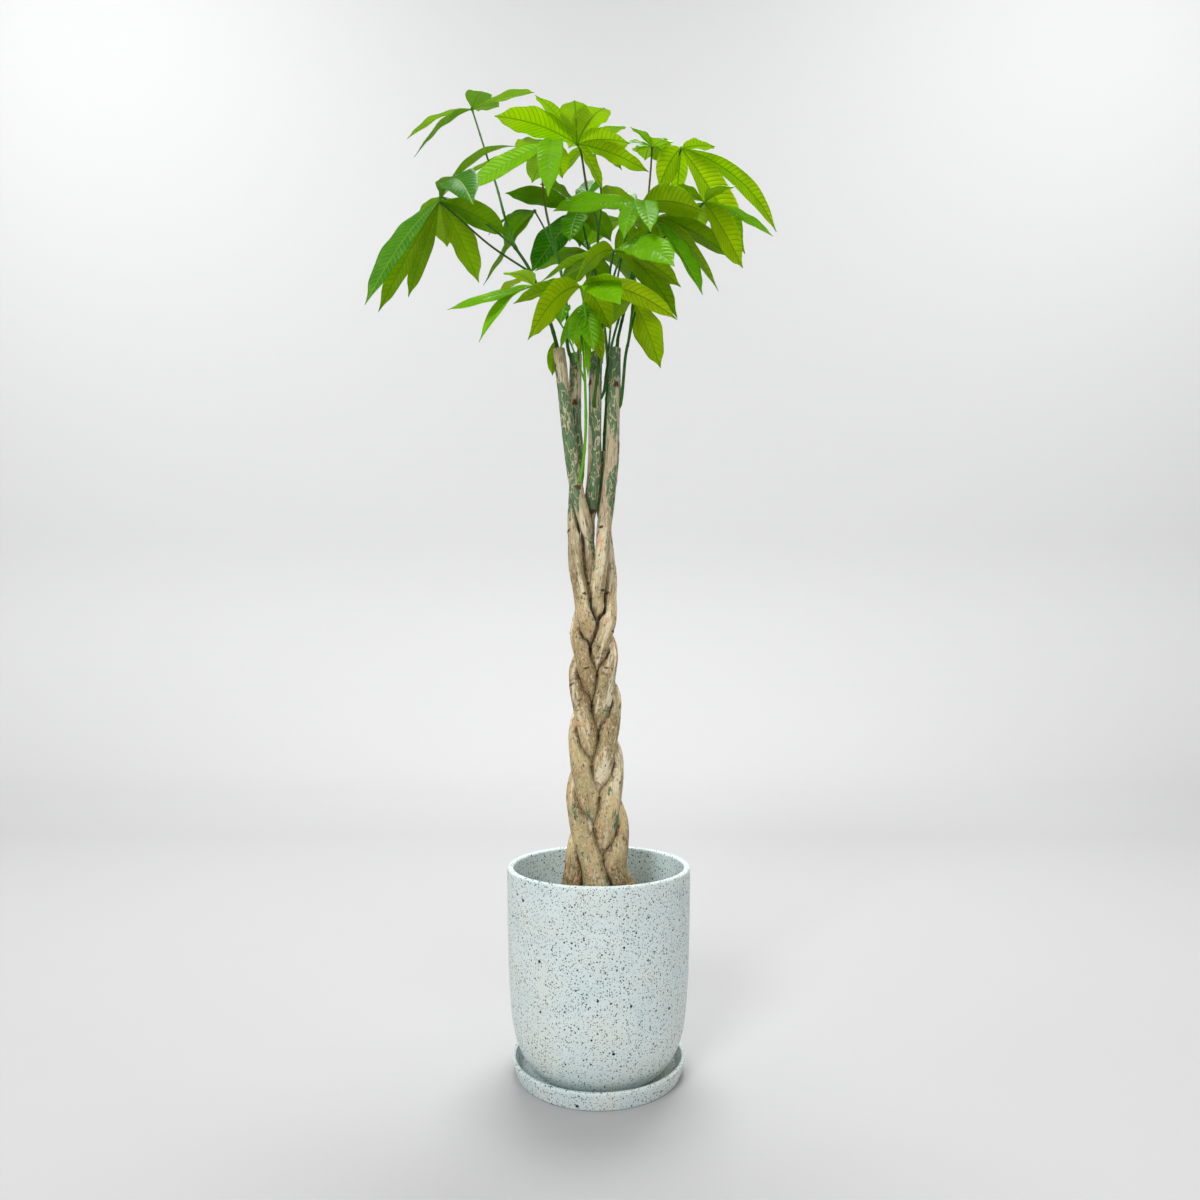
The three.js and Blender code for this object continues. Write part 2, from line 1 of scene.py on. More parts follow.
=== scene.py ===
import bpy
import numpy as np
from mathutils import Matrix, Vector


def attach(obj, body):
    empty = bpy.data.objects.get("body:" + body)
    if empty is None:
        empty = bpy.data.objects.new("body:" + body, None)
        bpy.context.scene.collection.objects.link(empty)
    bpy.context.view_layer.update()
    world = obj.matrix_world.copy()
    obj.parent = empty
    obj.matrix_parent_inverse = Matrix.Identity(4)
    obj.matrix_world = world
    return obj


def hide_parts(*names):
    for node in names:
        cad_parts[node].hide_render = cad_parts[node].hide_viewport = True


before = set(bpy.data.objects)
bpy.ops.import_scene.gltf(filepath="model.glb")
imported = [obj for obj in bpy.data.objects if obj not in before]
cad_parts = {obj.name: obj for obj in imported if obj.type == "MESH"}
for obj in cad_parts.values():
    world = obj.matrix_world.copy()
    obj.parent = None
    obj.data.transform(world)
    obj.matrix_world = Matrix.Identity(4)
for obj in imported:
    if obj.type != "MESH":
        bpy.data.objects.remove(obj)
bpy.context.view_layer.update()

# Driving dimensions, as in the solids
GAP = 0.3
POT_RADIUS = 140
POT_TOP = 304
POT_WALL = 9.5
POT_FLOOR = 14
DRAIN_RADIUS = 11
SAUCER_RADIUS = 130
SAUCER_FOOT = 123
SAUCER_HEIGHT = 27
SAUCER_WALL = 5.5
SAUCER_FLOOR = 6
SOIL_TOP = 236
TRUNK_FOOT = 165
RING_BLEND_FROM = 235
RING_BLEND_TO = 315
PLAIT_TOP = 700
PLAIT_TURN = 467
PHASE_HEIGHT = 622
PHASE_FLOOR = 300
BLADE_THICKNESS = 0.8
HUB_RADIUS = 3

# The eye of the front view, from which leaf points are written, and its camera
EYE_DISTANCE = 1333
EYE_HEIGHT = 606
EYE_ACROSS = 2
EYE_PITCH = 4.56
SENSOR = 36
LENS = 25.4

# How finely the skins are drawn
LATHE_SIDES = 160
TRUNK_SIDES = 56
TRUNK_STEP = 2.4
STALK_SIDES = 12
STALK_STEP = 3
LEAF_ROWS = 60
LEAF_COLUMNS = 20

# Up, and out of the plant's front towards the viewer
UP = np.array([0.0, 0.0, 1.0])
FRONT = np.array([0.0, -1.0, 0.0])

# Trunk width by height: a swollen foot, then a steady taper
TRUNK_WIDTH = [
    (150, 44), (250, 46), (270, 43.5), (300, 40), (340, 37.5), (395, 35.5), (475, 33),
    (560, 30), (636, 27), (700, 25), (776, 22.5), (935, 22), (1115, 19),
]

# Trunk depth as a share of its width: the trunks are pressed flat in the plait
TRUNK_FLATNESS = [(260, 1), (320, 0.75), (640, 0.75), (760, 1)]

# The five trunks: where in the plait each one is, in degrees, at PHASE_HEIGHT; its foot in the
# soil; and its way (across, back, height) above the plait
TRUNKS = {
    "trunk_a": (348, (4, -36), [
        (-1.5, 10, 716), (-9, 8, 740), (-14, 8, 768), (-18, 7, 805),
        (-22, -4, 838), (-34, -12, 884), (-42, -11, 934), (-51, -10, 1001),
        (-58, -12, 1062), (-64, -14, 1114),
    ]),
    "trunk_b": (276, (-44, -6), [
        (-27, -18, 716), (-31, -12, 740), (-36, -7, 768), (-38, -1, 805),
        (-39, 8, 838), (-38, 14, 884), (-34, 16, 934), (-38, 16, 1001),
        (-38, 16, 1062), (-38, 14, 1116),
    ]),
    "trunk_c": (204, (-22, 36), [
        (-26, 22, 716), (-22, 28, 740), (-21, 32, 768), (-19, 30, 805),
        (-17, 21, 838), (-11, 2, 884), (-7, -3, 934), (-6, -5, 1001),
        (-5, -6, 1062), (-4, -8, 1110),
    ]),
    "trunk_d": (132, (49, -8), [
        (-4, -12, 716), (-1, -16, 740), (3, -17, 768), (7, -16, 805),
        (10, -14, 838), (16, -12, 884), (21, -10, 934), (23, -10, 1001),
        (25, -10, 1062), (26, -10, 1116),
    ]),
    "trunk_e": (60, (24, 36), [
        (16, 2, 716), (17, 9, 740), (16, 13, 768), (12, 15, 805),
        (8, 18, 838), (7, 24, 884), (8, 24, 955),
    ]),
}

# How far the plait's middle stands left of the pot's middle, by height
PLAIT_SHIFT = [(330, 0), (420, -5), (560, -6), (640, -8)]

# How far the middle line of a strand swings to either side in the plait, by height
PLAIT_SWING = [(300, 31), (340, 30), (395, 28.5), (475, 26.5), (560, 25.5), (636, 24.5)]

# Share of its way that a strand spends in front, going in from either edge, by height; how
# nearly straight it goes across, how squarely it changes sides, and its depth as a share of
# its swing
FRONT_SHARE = [(600, 0.68), (680, 0.5)]
STRAIGHTNESS = 0.13
SQUARENESS = 2
PLAIT_DEPTH = 0.76

# Leafy shoots. Every point is (across, height, depth) as seen from the front. A stalk is its radius
# at either end, how bright its green is, how red its upper end is, and its path. A leaf is its hub,
# how pale its green is, and its leaflets: the tip, then width, arch, roll and bend. How pale a
# leaf's green is holds partly its own tone and partly painted light and shade: paler on the backlit
# leaves at the top and front, darker on the shaded leaves inside the crown.
SHOOTS = {
    "shoot_left": {
        "stalks": [
            (3.4, 2.4, 0.1, 0, [
                (-63, 1100, -14), (-67, 1122, -15), (-81, 1171, -18), (-110, 1247, -30),
                (-137, 1291, -32),
            ]),
            (2.4, 1.3, 0.35, 0, [
                (-137, 1291, -32), (-152, 1335, -28), (-167, 1391, -22),
                (-184, 1445, -16), (-210, 1528, -10),
            ]),
            (1.8, 1.5, 0.2, 0.1, [
                (-137, 1291, -32), (-178, 1325, -20), (-218, 1354, 0), (-259, 1377, 15),
            ]),
            (1.8, 1.5, 0.1, 0, [
                (-110, 1247, -30), (-178, 1294, -42), (-240, 1350, -52), (-262, 1368, -55),
            ]),
        ],
        "leaves": [
            ((-210, 1528, -10), 0.45, [
                (-317, 1476, 45, 36, 12, 30),
                (-304, 1445, -60, 36, 14, -5),
                (-190, 1558, -120, 40, 8, 0),
                (-107, 1557, 60, 34, 6, 0),
                (-165, 1532, 70, 30, 4, 20),
            ]),
            ((-259, 1377, 15), 0.4, [
                (-135, 1463, -60, 32, 26, -22),
                (-151, 1450, 60, 24, 8, -5),
                (-240, 1411, -85, 36, 10, -20),
                (-290, 1310, 110, 36, 10, 0),
                (-225, 1300, 140, 44, 15, 0),
            ]),
            ((-262, 1368, -55), 0.25, [
                (-380, 1193, -110, 46, 18, 40),
                (-358, 1181, -15, 40, 8, -10),
                (-310, 1206, 35, 34, 4, 10),
                (-248, 1291, 80, 50, 10, 0),
                (-195, 1230, 10, 48, 10, 10),
                (-150, 1310, -10, 44, 8, 30),
                (-205, 1362, -190, 54, 38, -40),
            ]),
            ((-70, 1135, -15), 0.4, [
                (-75, 1075, 15, 22, 4, 0),
            ]),
        ],
    },
    "shoot_upper_left": {
        "stalks": [
            (3, 1.5, 0.2, 0.9, [
                (-43, 1098, 12), (-50, 1122, 6), (-52, 1151, 0), (-52, 1190, -4),
                (-66, 1270, -10), (-86, 1350, -18), (-92, 1420, -36), (-76, 1470, -82),
            ]),
            (1.6, 1.4, 0.2, 0.1, [
                (-66, 1270, -10), (-88, 1320, -10), (-105, 1352, -5),
            ]),
        ],
        "leaves": [
            ((-76, 1470, -82), 0.75, [
                (-83, 1376, -150, 40, 30, 0),
                (-218, 1386, -85, 42, 8, 70),
                (-137, 1456, 10, 40, 4, 0),
                (-60, 1408, 20, 36, 6, 0),
                (-110, 1400, 60, 44, 6, 0),
            ]),
            ((-105, 1352, -5), 0.15, [
                (-181, 1311, 25, 26, 12, 30),
                (-188, 1226, 30, 34, 5, 25),
                (-155, 1290, 60, 40, 16, 0),
            ]),
            ((-52, 1190, -4), 0.3, [
                (-62, 1160, -25, 26, 10, 0),
            ]),
        ],
    },
    "shoot_front": {
        "stalks": [
            (2.6, 1.5, 0.9, 0, [
                (-37, 894, -12), (-28, 912, -28), (-21, 983, -34), (-22, 1066, -44),
                (-24, 1110, -52), (-20, 1165, -68), (-29, 1223, -92),
            ]),
            (1.5, 1.3, 0.8, 0, [
                (-22, 1066, -44), (-50, 1140, -55), (-74, 1180, -62), (-105, 1225, -70),
            ]),
            (1.5, 1.3, 0.7, 0, [
                (-24, 1110, -52), (-30, 1160, -58), (-24, 1196, -55),
            ]),
        ],
        "leaves": [
            ((-29, 1223, -92), 0.8, [
                (36, 1193, -165, 50, 14, -45),
                (128, 1168, -70, 38, 20, 30),
                (-115, 1134, -150, 54, 22, -55),
                (-139, 1195, -120, 36, 10, -15),
                (20, 1150, -50, 50, 14, 0),
                (52, 1232, -172, 36, 6, 0),
            ]),
            ((-105, 1225, -70), 0.8, [
                (-246, 1185, -80, 36, 2, 45),
                (-194, 1131, -70, 34, 22, 45),
                (-150, 1246, -170, 40, 8, 0),
                (-165, 1200, 10, 30, 20, 20),
            ]),
            ((-24, 1196, -55), 0.6, [
                (-42, 1126, -80, 30, 6, 20),
                (-63, 1118, -40, 26, 8, 60),
                (-8, 1115, -85, 32, 8, -20),
                (-17, 1071, -70, 20, 4, 30),
                (7, 1095, -40, 36, 8, 10),
                (-30, 1110, 0, 32, 10, 0),
            ]),
        ],
    },
    "shoot_top": {
        "stalks": [
            (3, 1.5, 0.15, 0.7, [
                (-33, 1098, 18), (-31, 1130, 24), (-20, 1200, 28), (-1, 1311, 20),
                (-19, 1388, 5), (-29, 1451, -12), (-36, 1467, -20),
            ]),
            (1.6, 1.4, 0.15, 0.2, [
                (-1, 1311, 20), (4, 1379, 28), (-10, 1470, 40),
            ]),
        ],
        "leaves": [
            ((-36, 1467, -20), 1.0, [
                (-173, 1516, -90, 56, 10, -12),
                (-105, 1552, -130, 40, 10, 25),
                (-40, 1543, -165, 48, 12, 0),
                (10, 1530, -160, 52, 12, 0),
                (52, 1468, -80, 46, 8, 15),
                (83, 1419, -40, 46, 8, 10),
                (7, 1388, 0, 34, 8, -5),
            ]),
            ((-10, 1470, 40), 0.8, [
                (42, 1498, -50, 42, 6, -12),
                (38, 1422, 60, 36, 14, 0),
                (-64, 1410, 80, 36, 10, 20),
                (28, 1445, 140, 44, 12, 0),
                (-50, 1460, 160, 44, 12, 0),
            ]),
        ],
    },
    "shoot_middle": {
        "stalks": [
            (2.8, 1.6, 0.15, 0, [
                (-6, 1018, -8), (-7, 1036, -21), (-1, 1085, -28), (4, 1138, -36),
                (8, 1180, -42), (20, 1260, -68), (25, 1284, -76),
            ]),
            (1.8, 1.5, 0.2, 0.1, [
                (8, 1180, -42), (30, 1260, -44), (52, 1330, -42), (69, 1364, -40),
            ]),
        ],
        "leaves": [
            ((25, 1284, -76), 0.55, [
                (124, 1258, -150, 58, 20, -50),
                (-40, 1228, -165, 42, 16, -55),
                (-94, 1232, -95, 34, 10, 0),
                (-72, 1224, -60, 26, 10, 10),
                (128, 1171, -40, 46, 22, 20),
                (134, 1223, -80, 48, 12, 20),
            ]),
            ((69, 1364, -40), 0.6, [
                (-75, 1352, -110, 52, 8, 55),
                (41, 1304, -125, 38, 20, 0),
                (85, 1316, -135, 38, 20, 0),
                (171, 1352, -110, 60, 10, 30),
                (0, 1376, 70, 42, 6, -30),
            ]),
        ],
    },
    "shoot_right_inner": {
        "stalks": [
            (2.6, 1.4, 0.2, 0.8, [
                (-3, 1030, -7), (8, 1048, -5), (13, 1085, 0), (19, 1118, 6),
                (28, 1154, 12), (50, 1230, 22), (75, 1330, 12), (84, 1405, 0), (88, 1462, -10),
            ]),
        ],
        "leaves": [
            ((88, 1462, -10), 0.7, [
                (53, 1496, -75, 32, 4, 30),
                (48, 1469, -20, 30, 4, 40),
                (118, 1471, -75, 34, 5, 0),
                (61, 1453, 50, 34, 8, 30),
                (76, 1439, 80, 42, 10, 0),
                (114, 1434, 30, 38, 10, 30),
            ]),
        ],
    },
    "shoot_right": {
        "stalks": [
            (3.2, 1.5, 0.05, 0, [
                (26, 1100, -10), (30, 1126, -8), (34, 1151, -2), (60, 1250, 15),
                (105, 1370, 10), (136, 1460, -20),
            ]),
            (1.7, 1.5, 0.1, 0, [
                (60, 1250, 15), (110, 1310, 0), (150, 1345, -30), (174, 1367, -60),
            ]),
        ],
        "leaves": [
            ((136, 1460, -20), 0.9, [
                (192, 1463, -85, 32, 3, 10),
                (291, 1316, -70, 38, 33, 28, 0.72),
                (239, 1279, -40, 58, 12, 40),
                (98, 1391, -30, 46, 10, -60),
                (128, 1376, 45, 30, 6, 0),
            ]),
            ((174, 1367, -60), 0.55, [
                (114, 1384, -60, 36, 6, 0),
                (222, 1393, -150, 36, 8, -10),
                (285, 1309, -80, 34, 8, -45),
                (235, 1255, -85, 54, 8, 45),
                (150, 1290, 45, 40, 14, 0),
                (208, 1306, 80, 40, 14, 0),
            ]),
        ],
    },
    "shoot_right_outer": {
        "stalks": [
            (2.8, 1.8, 0.1, 0, [
                (26, 1014, -10), (36, 1034, -14), (43, 1105, -26), (49, 1138, -34),
                (55, 1191, -46), (54, 1205, -52),
            ]),
            (1.7, 1.5, 0.15, 0, [
                (49, 1138, -34), (66, 1210, -34), (80, 1290, -34), (87, 1338, -35),
            ]),
        ],
        "leaves": [
            ((54, 1205, -52), 0.45, [
                (100, 1088, -15, 60, 10, 0),
                (4, 1150, 0, 40, 8, 0),
                (95, 1195, 50, 42, 14, 0),
            ]),
            ((87, 1338, -35), 0.4, [
                (216, 1272, -20, 40, 14, 20),
                (169, 1210, -70, 56, 14, -20),
                (195, 1216, -25, 32, 25, 5),
                (150, 1290, 30, 44, 20, 0),
                (72, 1262, -5, 44, 10, 0),
            ]),
        ],
    },
    "shoot_back": {
        "stalks": [
            (3, 1.6, 0.1, 0, [
                (8, 940, 24), (9, 975, 30), (14, 1100, 48), (0, 1220, 66), (-20, 1300, 66),
                (-31, 1354, 50),
            ]),
            (1.8, 1.6, 0.1, 0, [
                (14, 1100, 48), (24, 1200, 74), (40, 1290, 100), (45, 1335, 110),
            ]),
            (1.8, 1.5, 0.1, 0, [
                (0, 1220, 66), (-6, 1250, 84), (-12, 1280, 98),
            ]),
        ],
        "leaves": [
            ((-31, 1354, 50), 0.1, [
                (-110, 1248, 40, 60, 5, 60),
                (-97, 1398, 60, 40, 10, 0),
                (-154, 1383, -25, 38, 6, -20),
                (-31, 1290, 130, 50, 20, 0),
                (-2, 1408, 120, 46, 8, 0),
                (-48, 1300, -5, 46, 10, 0),
                (20, 1300, 110, 46, 14, 0),
            ]),
            ((45, 1335, 110), 0.15, [
                (-20, 1290, 190, 48, 18, 0),
                (50, 1225, 160, 50, 20, 0),
                (120, 1270, 150, 50, 20, 0),
                (125, 1350, 140, 46, 16, 0),
                (40, 1385, 200, 46, 12, 0),
            ]),
            ((-12, 1280, 98), 0.0, [
                (-104, 1250, 112, 48, 14, 0),
                (-62, 1204, 150, 48, 14, 10),
                (6, 1192, 150, 48, 14, 0),
                (66, 1222, 128, 46, 14, -10),
                (-60, 1306, 170, 44, 12, 0),
            ]),
        ],
    },
}

# Side veins of a leaflet: millimetres apart, how far they lean to the tip, how they curve, and
# how high the blade arches between them
VEIN_SPACING = 8.6
VEIN_LEAN = -0.55
VEIN_CURVE = -0.3
VEIN_ARCH = 0.55

# What differs from leaflet to leaflet, from least to most: its fold at the midrib, the droop and
# the waves of its edges as shares of its half width, and how many waves there are
LEAF_FOLD = (0.18, 0.36)
LEAF_DROOP = (0.06, 0.2)
LEAF_WAVE = (0.04, 0.09)
LEAF_RIPPLES = (2.2, 4.2)

# How far along a leaflet its bend is where none is written, its least half width near the hub
# and near the tip, and its midrib: width, and how far it stands out below and sinks in above
LEAF_BEND = 0.45
LEAF_NECK = 1.1
LEAF_TIP = 0.12
MIDRIB_WIDTH = 1.1
MIDRIB_DEPTH = (0.9, 0.25)

# Colour of a side vein and of the midrib: how far from its middle it begins and is full, in
# millimetres, and how much it covers
VEIN_COLOUR = (1.0, 0.3, 0.5)
MIDRIB_COLOUR = (1.4, 0.5, 0.75)

# Greens of a leaflet where it is darkest and palest, and on its ribs: its upper face, its lower
# face, and the light that comes through it
LEAF_GREENS = {
    "above": ("#2F8E00", "#A2F40A", "#BCE45C"),
    "below": ("#86B600", "#E6FF0C", "#6C9606"),
    "through": ("#74AE00", "#CCE600", "#82BA04"),
}

# Rings on a stalk where leaves were shed: millimetres between them, and the least foot radius
# of a stalk that has them
STALK_RINGS = (35, 70)
RINGED_STALK = 2.2

# Grains in the cast stone: spacing and greatest radius in millimetres, the share of places
# that hold one, and the colour
STONE_GRAINS = [
    (2.4, 0.8, 0.5, "#F4F8F6"),
    (2.5, 0.85, 0.65, "#86949A"),
    (3.3, 1.05, 0.65, "#55636A"),
    (4.4, 1.25, 0.5, "#665E4C"),
    (5.2, 1.45, 0.6, "#2E383E"),
    (9.0, 1.8, 0.5, "#20272C"),
    (26.0, 3.2, 0.45, "#12171A"),
]

# Smallest grain of a kind and width of its soft edge, as shares of its greatest radius, and how
# far a grain's outline strays, in millimetres
SMALLEST_GRAIN = 0.55
GRAIN_EDGE = 0.15
GRAIN_STRAY = 1.1

# Where light is painted on the pot's inner wall as a paler colour: radius and height, from none of
# it to all
LIT_INNER_RADIUS = (135, 132)
LIT_INNER_HEIGHT = (190, 230)

# How far the bark is squeezed along the trunk before a pattern is read off it, which draws the
# pattern out
BARK_WAYS = {"even": 1, "drawn": 0.4, "streaked": 0.14}

# Patterns in the bark: the way it is read, size in millimetres, detail and roughness. The real
# cracks are too fine to show, and are drawn 2 mm coarse.
BARK_PATTERNS = {
    "tone": ("drawn", 33, 4, 0.5),
    "fine": ("drawn", 2.4, 5, 0.5),
    "dirt_and_shade": ("even", 8.3, 6, 0.7),
    "cracks": ("streaked", 2.1, 3, 0.5),
    "streaks": ("streaked", 16, 5, 0.6),
    "peeled": ("drawn", 13, 4, 0.6),
    "worn": ("drawn", 28, 5, 0.6),
    "tracks": ("even", 9.5, 2, 0.5),
}

# Corky pores: their spacing in millimetres, and for the pale and the dark ones which number of a
# pore's chance is read, the least chance that has one, greatest radius as a share of the
# spacing, how much it covers, and the colour
PORE_SPACING = 4.2
BARK_PORES = [
    (0, 0.82, 0.3, 0.8, "#E6DCC4"),
    (1, 0.78, 0.4, 0.75, "#3C2C18"),
]

# Slow waves in the top of the mix, by length in millimetres, each run in four directions
SOIL_SWELLS = (60, 34, 19, 11)

# Chips on the mix: how many are thrown, and how far from a trunk's middle none is kept
CHIPS = 900
CHIP_CLEAR = 26

# Lumps of a trunk, all the way up and at its foot: height, most turns around, shortest length
TRUNK_LUMPS = [(0.45, 2, 110), (0.2, 3, 34), (0.16, 9, 40)]
FOOT_LUMPS = [(0.55, 4, 90), (0.35, 9, 70)]

# Heights of changes up a trunk, from none to all: its foot lumps, painted shade darkening it
# towards the soil, older to younger bark; and the lengths of its brown bands
FOOT_HEIGHT = (420, 240)
SOIL_SHADE_HEIGHT = (340, 236)
YOUNG_HEIGHT = (560, 1000)
BROWN_BAND = 62
BROWN_DRIFT = 23

# Rings where a trunk's leaves were shed: the first one's place and the way to the next in
# millimetres, the turn to the next in degrees, how far a ring dips from the leaf's side, the
# half width and half height of a leaf scar, and how low they are worn within the plait
FIRST_RING = 120.0
RING_SPACING = (20, 50)
LEAF_TURN = 137.5
RING_DIP = 1.6
SCAR_WIDTH = 5.2
SCAR_HEIGHT = 2.6
PLAIT_WEAR = 0.35

# Scars of pruned side stems: height, turn from the front towards +X in degrees, and radius
KNOTS = {
    "trunk_a": [(1098, 10, 4.5), (872, 40, 5), (905, 330, 4), (1010, 300, 4), (690, 20, 4.5)],
    "trunk_b": [(1085, 20, 5), (1000, 350, 4.5), (930, 60, 4), (780, 0, 5), (500, 330, 5)],
    "trunk_c": [(1022, 5, 5.5), (1075, 320, 4), (890, 20, 4.5), (620, 10, 5), (430, 0, 5)],
    "trunk_d": [(1027, 35, 5.5), (1095, 330, 4.5), (940, 350, 4.5), (820, 10, 5), (360, 20, 6)],
    "trunk_e": [(930, 20, 4.5), (700, 340, 5), (560, 10, 5), (420, 30, 5)],
}

# Where two trunks meet, in millimetres from the neighbour: how far the painted shade of the
# crevice, the drawn-in skin and the wider painted shade on the trunk that goes under reach, and how
# deep the skin is drawn in
CREVICE = 2.4
TUCK = 9
SHADE_REACH = 12
TUCK_DEPTH = 4.2

# How far before or behind its neighbour a trunk lies fully over or under it, and how far from a
# trunk's middle its skin is fully on the front or the back, in millimetres
OVERLAP = 5
FRONT_SIDE = 5

# What the number for painted crevice shade in a trunk's marks holds on its sawn top
SAWN = 2.0

# Rings that close a sawn top: size as a share of the trunk, and rise in millimetres
SAWN_TOP = ((0.95, 0.5), (0.9, 0.3), (0.6, -0.2), (0.3, -0.5))

# Soft boxes: place, target and size in metres, power in watts, and spread of light in degrees.
# The key and fill boxes stand in front, the top box shines down through the leaves, and two
# light the wall behind.
SOFT_BOXES = {
    "key_box": ((-3.6, -7.4, 6.0), (0, 0, 0.9), 3.0, 470, 180),
    "fill_box": ((3.5, -7.5, 3.5), (0, 0, 0.8), 4.0, 90, 180),
    "top_box": ((0.2, 1.9, 6.6), (0, 0, 0.9), 3.0, 93, 85),
    "left_wall_box": ((-4.2, 0.8, 6.8), (-3.15, 5.0, 2.4), 4.0, 88, 112),
    "right_wall_box": ((4.2, 0.8, 6.8), (3.15, 5.0, 2.4), 4.0, 88, 112),
}

# The paper sweep: half its width, which is its height too, its front edge, where its curve
# starts, the curve's radius and steps, and where the paper is darkest and palest
SWEEP_HALF = 9000
SWEEP_FRONT = -6000
SWEEP_CURVE = 3000
SWEEP_RADIUS = 1500
SWEEP_STEPS = 24
PAPER_DARKEST = 1800
PAPER_PALEST = 4400


# Meshes

def make_piece(name, points, faces, materials, marks=None, slots=None, sharp=None):
    """One mesh object at the origin. points is an array of positions in millimetres and faces a
    list of arrays of vertex numbers, all of one length in each array. marks are named arrays of
    three numbers a vertex, slots is the material number of each face, and edges sharper than
    sharp, in degrees, aren't shaded smooth."""
    mesh = bpy.data.meshes.new(name)
    sizes = np.concatenate([np.full(len(f), f.shape[1]) for f in faces])
    corners = np.concatenate([f.ravel() for f in faces])
    starts = np.concatenate([[0], np.cumsum(sizes)[:-1]])
    mesh.vertices.add(len(points))
    mesh.vertices.foreach_set("co", (points / 1000).astype(np.float32).ravel())
    mesh.loops.add(len(corners))
    mesh.loops.foreach_set("vertex_index", corners.astype(np.int32))
    mesh.polygons.add(len(sizes))
    mesh.polygons.foreach_set("loop_start", starts.astype(np.int32))
    mesh.polygons.foreach_set("loop_total", sizes.astype(np.int32))
    mesh.polygons.foreach_set("use_smooth", np.ones(len(sizes), bool))
    for material in materials:
        mesh.materials.append(material)
    if slots is not None:
        mesh.polygons.foreach_set("material_index", slots.astype(np.int32))
    for key, values in (marks or {}).items():
        attribute = mesh.attributes.new(key, "FLOAT_VECTOR", "POINT")
        attribute.data.foreach_set("vector", values.astype(np.float32).ravel())
    mesh.update(calc_edges=True)
    mesh.validate()
    if sharp is not None:
        mesh.set_sharp_from_angle(angle=np.radians(sharp))
    piece = bpy.data.objects.new(name, mesh)
    bpy.context.scene.collection.objects.link(piece)
    return piece


def ring_faces(rings, sides):
    """Quads between neighbouring rings of points, each ring closed on itself, and a fan of
    triangles from each end ring to a middle point, numbered after all the rings."""
    row = np.arange(rings - 1)[:, None] * sides
    here = np.arange(sides)[None, :]
    after = (here + 1) % sides
    quads = np.stack([row + here, row + after, row + sides + after, row + sides + here], axis=-1)
    around = np.arange(sides)
    beside = (around + 1) % sides
    first = np.full(sides, rings * sides)
    foot = np.stack([first, beside, around], axis=-1)
    last = (rings - 1) * sides
    head = np.stack([first + 1, last + around, last + beside], axis=-1)
    return quads.reshape(-1, 4), np.concatenate([foot, head])


def loop_faces(rings, sides):
    """Quads between neighbouring rings of points, with the last ring joined to the first."""
    row = np.arange(rings)[:, None] * sides
    after_row = np.roll(row, -1, axis=0)
    here = np.arange(sides)[None, :]
    after = (here + 1) % sides
    quads = np.stack([row + here, row + after, after_row + after, after_row + here], axis=-1)
    return quads.reshape(-1, 4)


def capped(rings):
    """The points of rings in one list, with the middle of the first and the last ring added."""
    flat = rings.reshape(-1, rings.shape[-1])
    return np.concatenate([flat, rings[:1].mean(axis=1), rings[-1:].mean(axis=1)])


def joined(skins):
    """Several skins, each (points, quads, triangles, marks), as the lists for one mesh."""
    shift = np.cumsum([0] + [len(skin[0]) for skin in skins[:-1]])
    points = np.concatenate([skin[0] for skin in skins])
    quads = np.concatenate([skin[1] + by for skin, by in zip(skins, shift)])
    triangles = np.concatenate([skin[2] + by for skin, by in zip(skins, shift)])
    marks = {key: np.concatenate([skin[3][key] for skin in skins]) for key in skins[0][3]}
    return points, [quads, triangles], marks


def unit(vectors):
    """The directions of vectors, each one long."""
    return vectors / np.linalg.norm(vectors, axis=-1, keepdims=True)


def line_length(points):
    """The length of the straight line from point to point."""
    return np.linalg.norm(np.diff(points, axis=0), axis=1).sum()


def full_turn(sides):
    """Angles at even steps once round."""
    return np.arange(sides) / sides * 2 * np.pi


def smoothstep(start, end, value):
    """From 0 at start to 1 at end, flat beyond both: 3t^2 - 2t^3 of the share t of the way."""
    t = np.clip((value - start) / (end - start), 0, 1)
    return t * t * (3 - 2 * t)


def bell(value, width):
    """A bell curve of value: e to the power of minus (value / width)^2."""
    return np.exp(-(value / width) ** 2)


def smooth_line(points, places):
    """A smooth curve through points at places from 0 to 1, and its direction there. Between two
    points it is a cubic that passes each of them in the direction from the point before to the
    point after. Each point gets an equal share of the way, and both ends are carried on by
    reflection."""
    first = 2 * points[0] - points[1]
    last = 2 * points[-1] - points[-2]
    held = np.concatenate([[first], points, [last]])
    way = places * (len(points) - 1)
    index = np.minimum(way.astype(int), len(points) - 2)
    t = (way - index)[:, None]
    a, b, c, d = (held[index + k] for k in range(4))
    place = 0.5 * (2 * b + (c - a) * t + (2 * a - 5 * b + 4 * c - d) * t ** 2
                   + (3 * b - a - 3 * c + d) * t ** 3)
    ahead = 0.5 * ((c - a) + 2 * (2 * a - 5 * b + 4 * c - d) * t
                   + 3 * (3 * b - a - 3 * c + d) * t ** 2)
    return place, unit(ahead)


def waves(around, along, sizes, seed):
    """Smooth bumps on a round skin: a sum of sine waves with a whole number of turns around it.
    around is the angle, along the place in millimetres; sizes lists (height of the wave, most
    turns around, shortest length along). Directions and phases come from the seed."""
    rng = np.random.default_rng(seed)
    total = np.zeros(np.broadcast(around, along).shape)
    for height, turns, length in sizes:
        for _ in range(5):
            turn = rng.integers(-turns, turns + 1)
            pace = 2 * np.pi / (length * rng.uniform(1, 2.5))
            total += height / 2 * np.sin(turn * around + pace * along + rng.uniform(0, 6.28))
    return total


# Materials

# A pattern's scale is 1000 over its size in millimetres, because places in a tree are in metres.
# These are the numbers of a colour mix's inputs and output.
FACTOR, FIRST, SECOND, MIXED = 0, 6, 7, 2


def linear(code):
    """A linear colour from an sRGB hex code."""
    parts = np.array([int(code[i:i + 2], 16) for i in (1, 3, 5)]) / 255
    light = np.where(parts <= 0.04045, parts / 12.92, ((parts + 0.055) / 1.055) ** 2.4)
    return (*light.tolist(), 1.0)


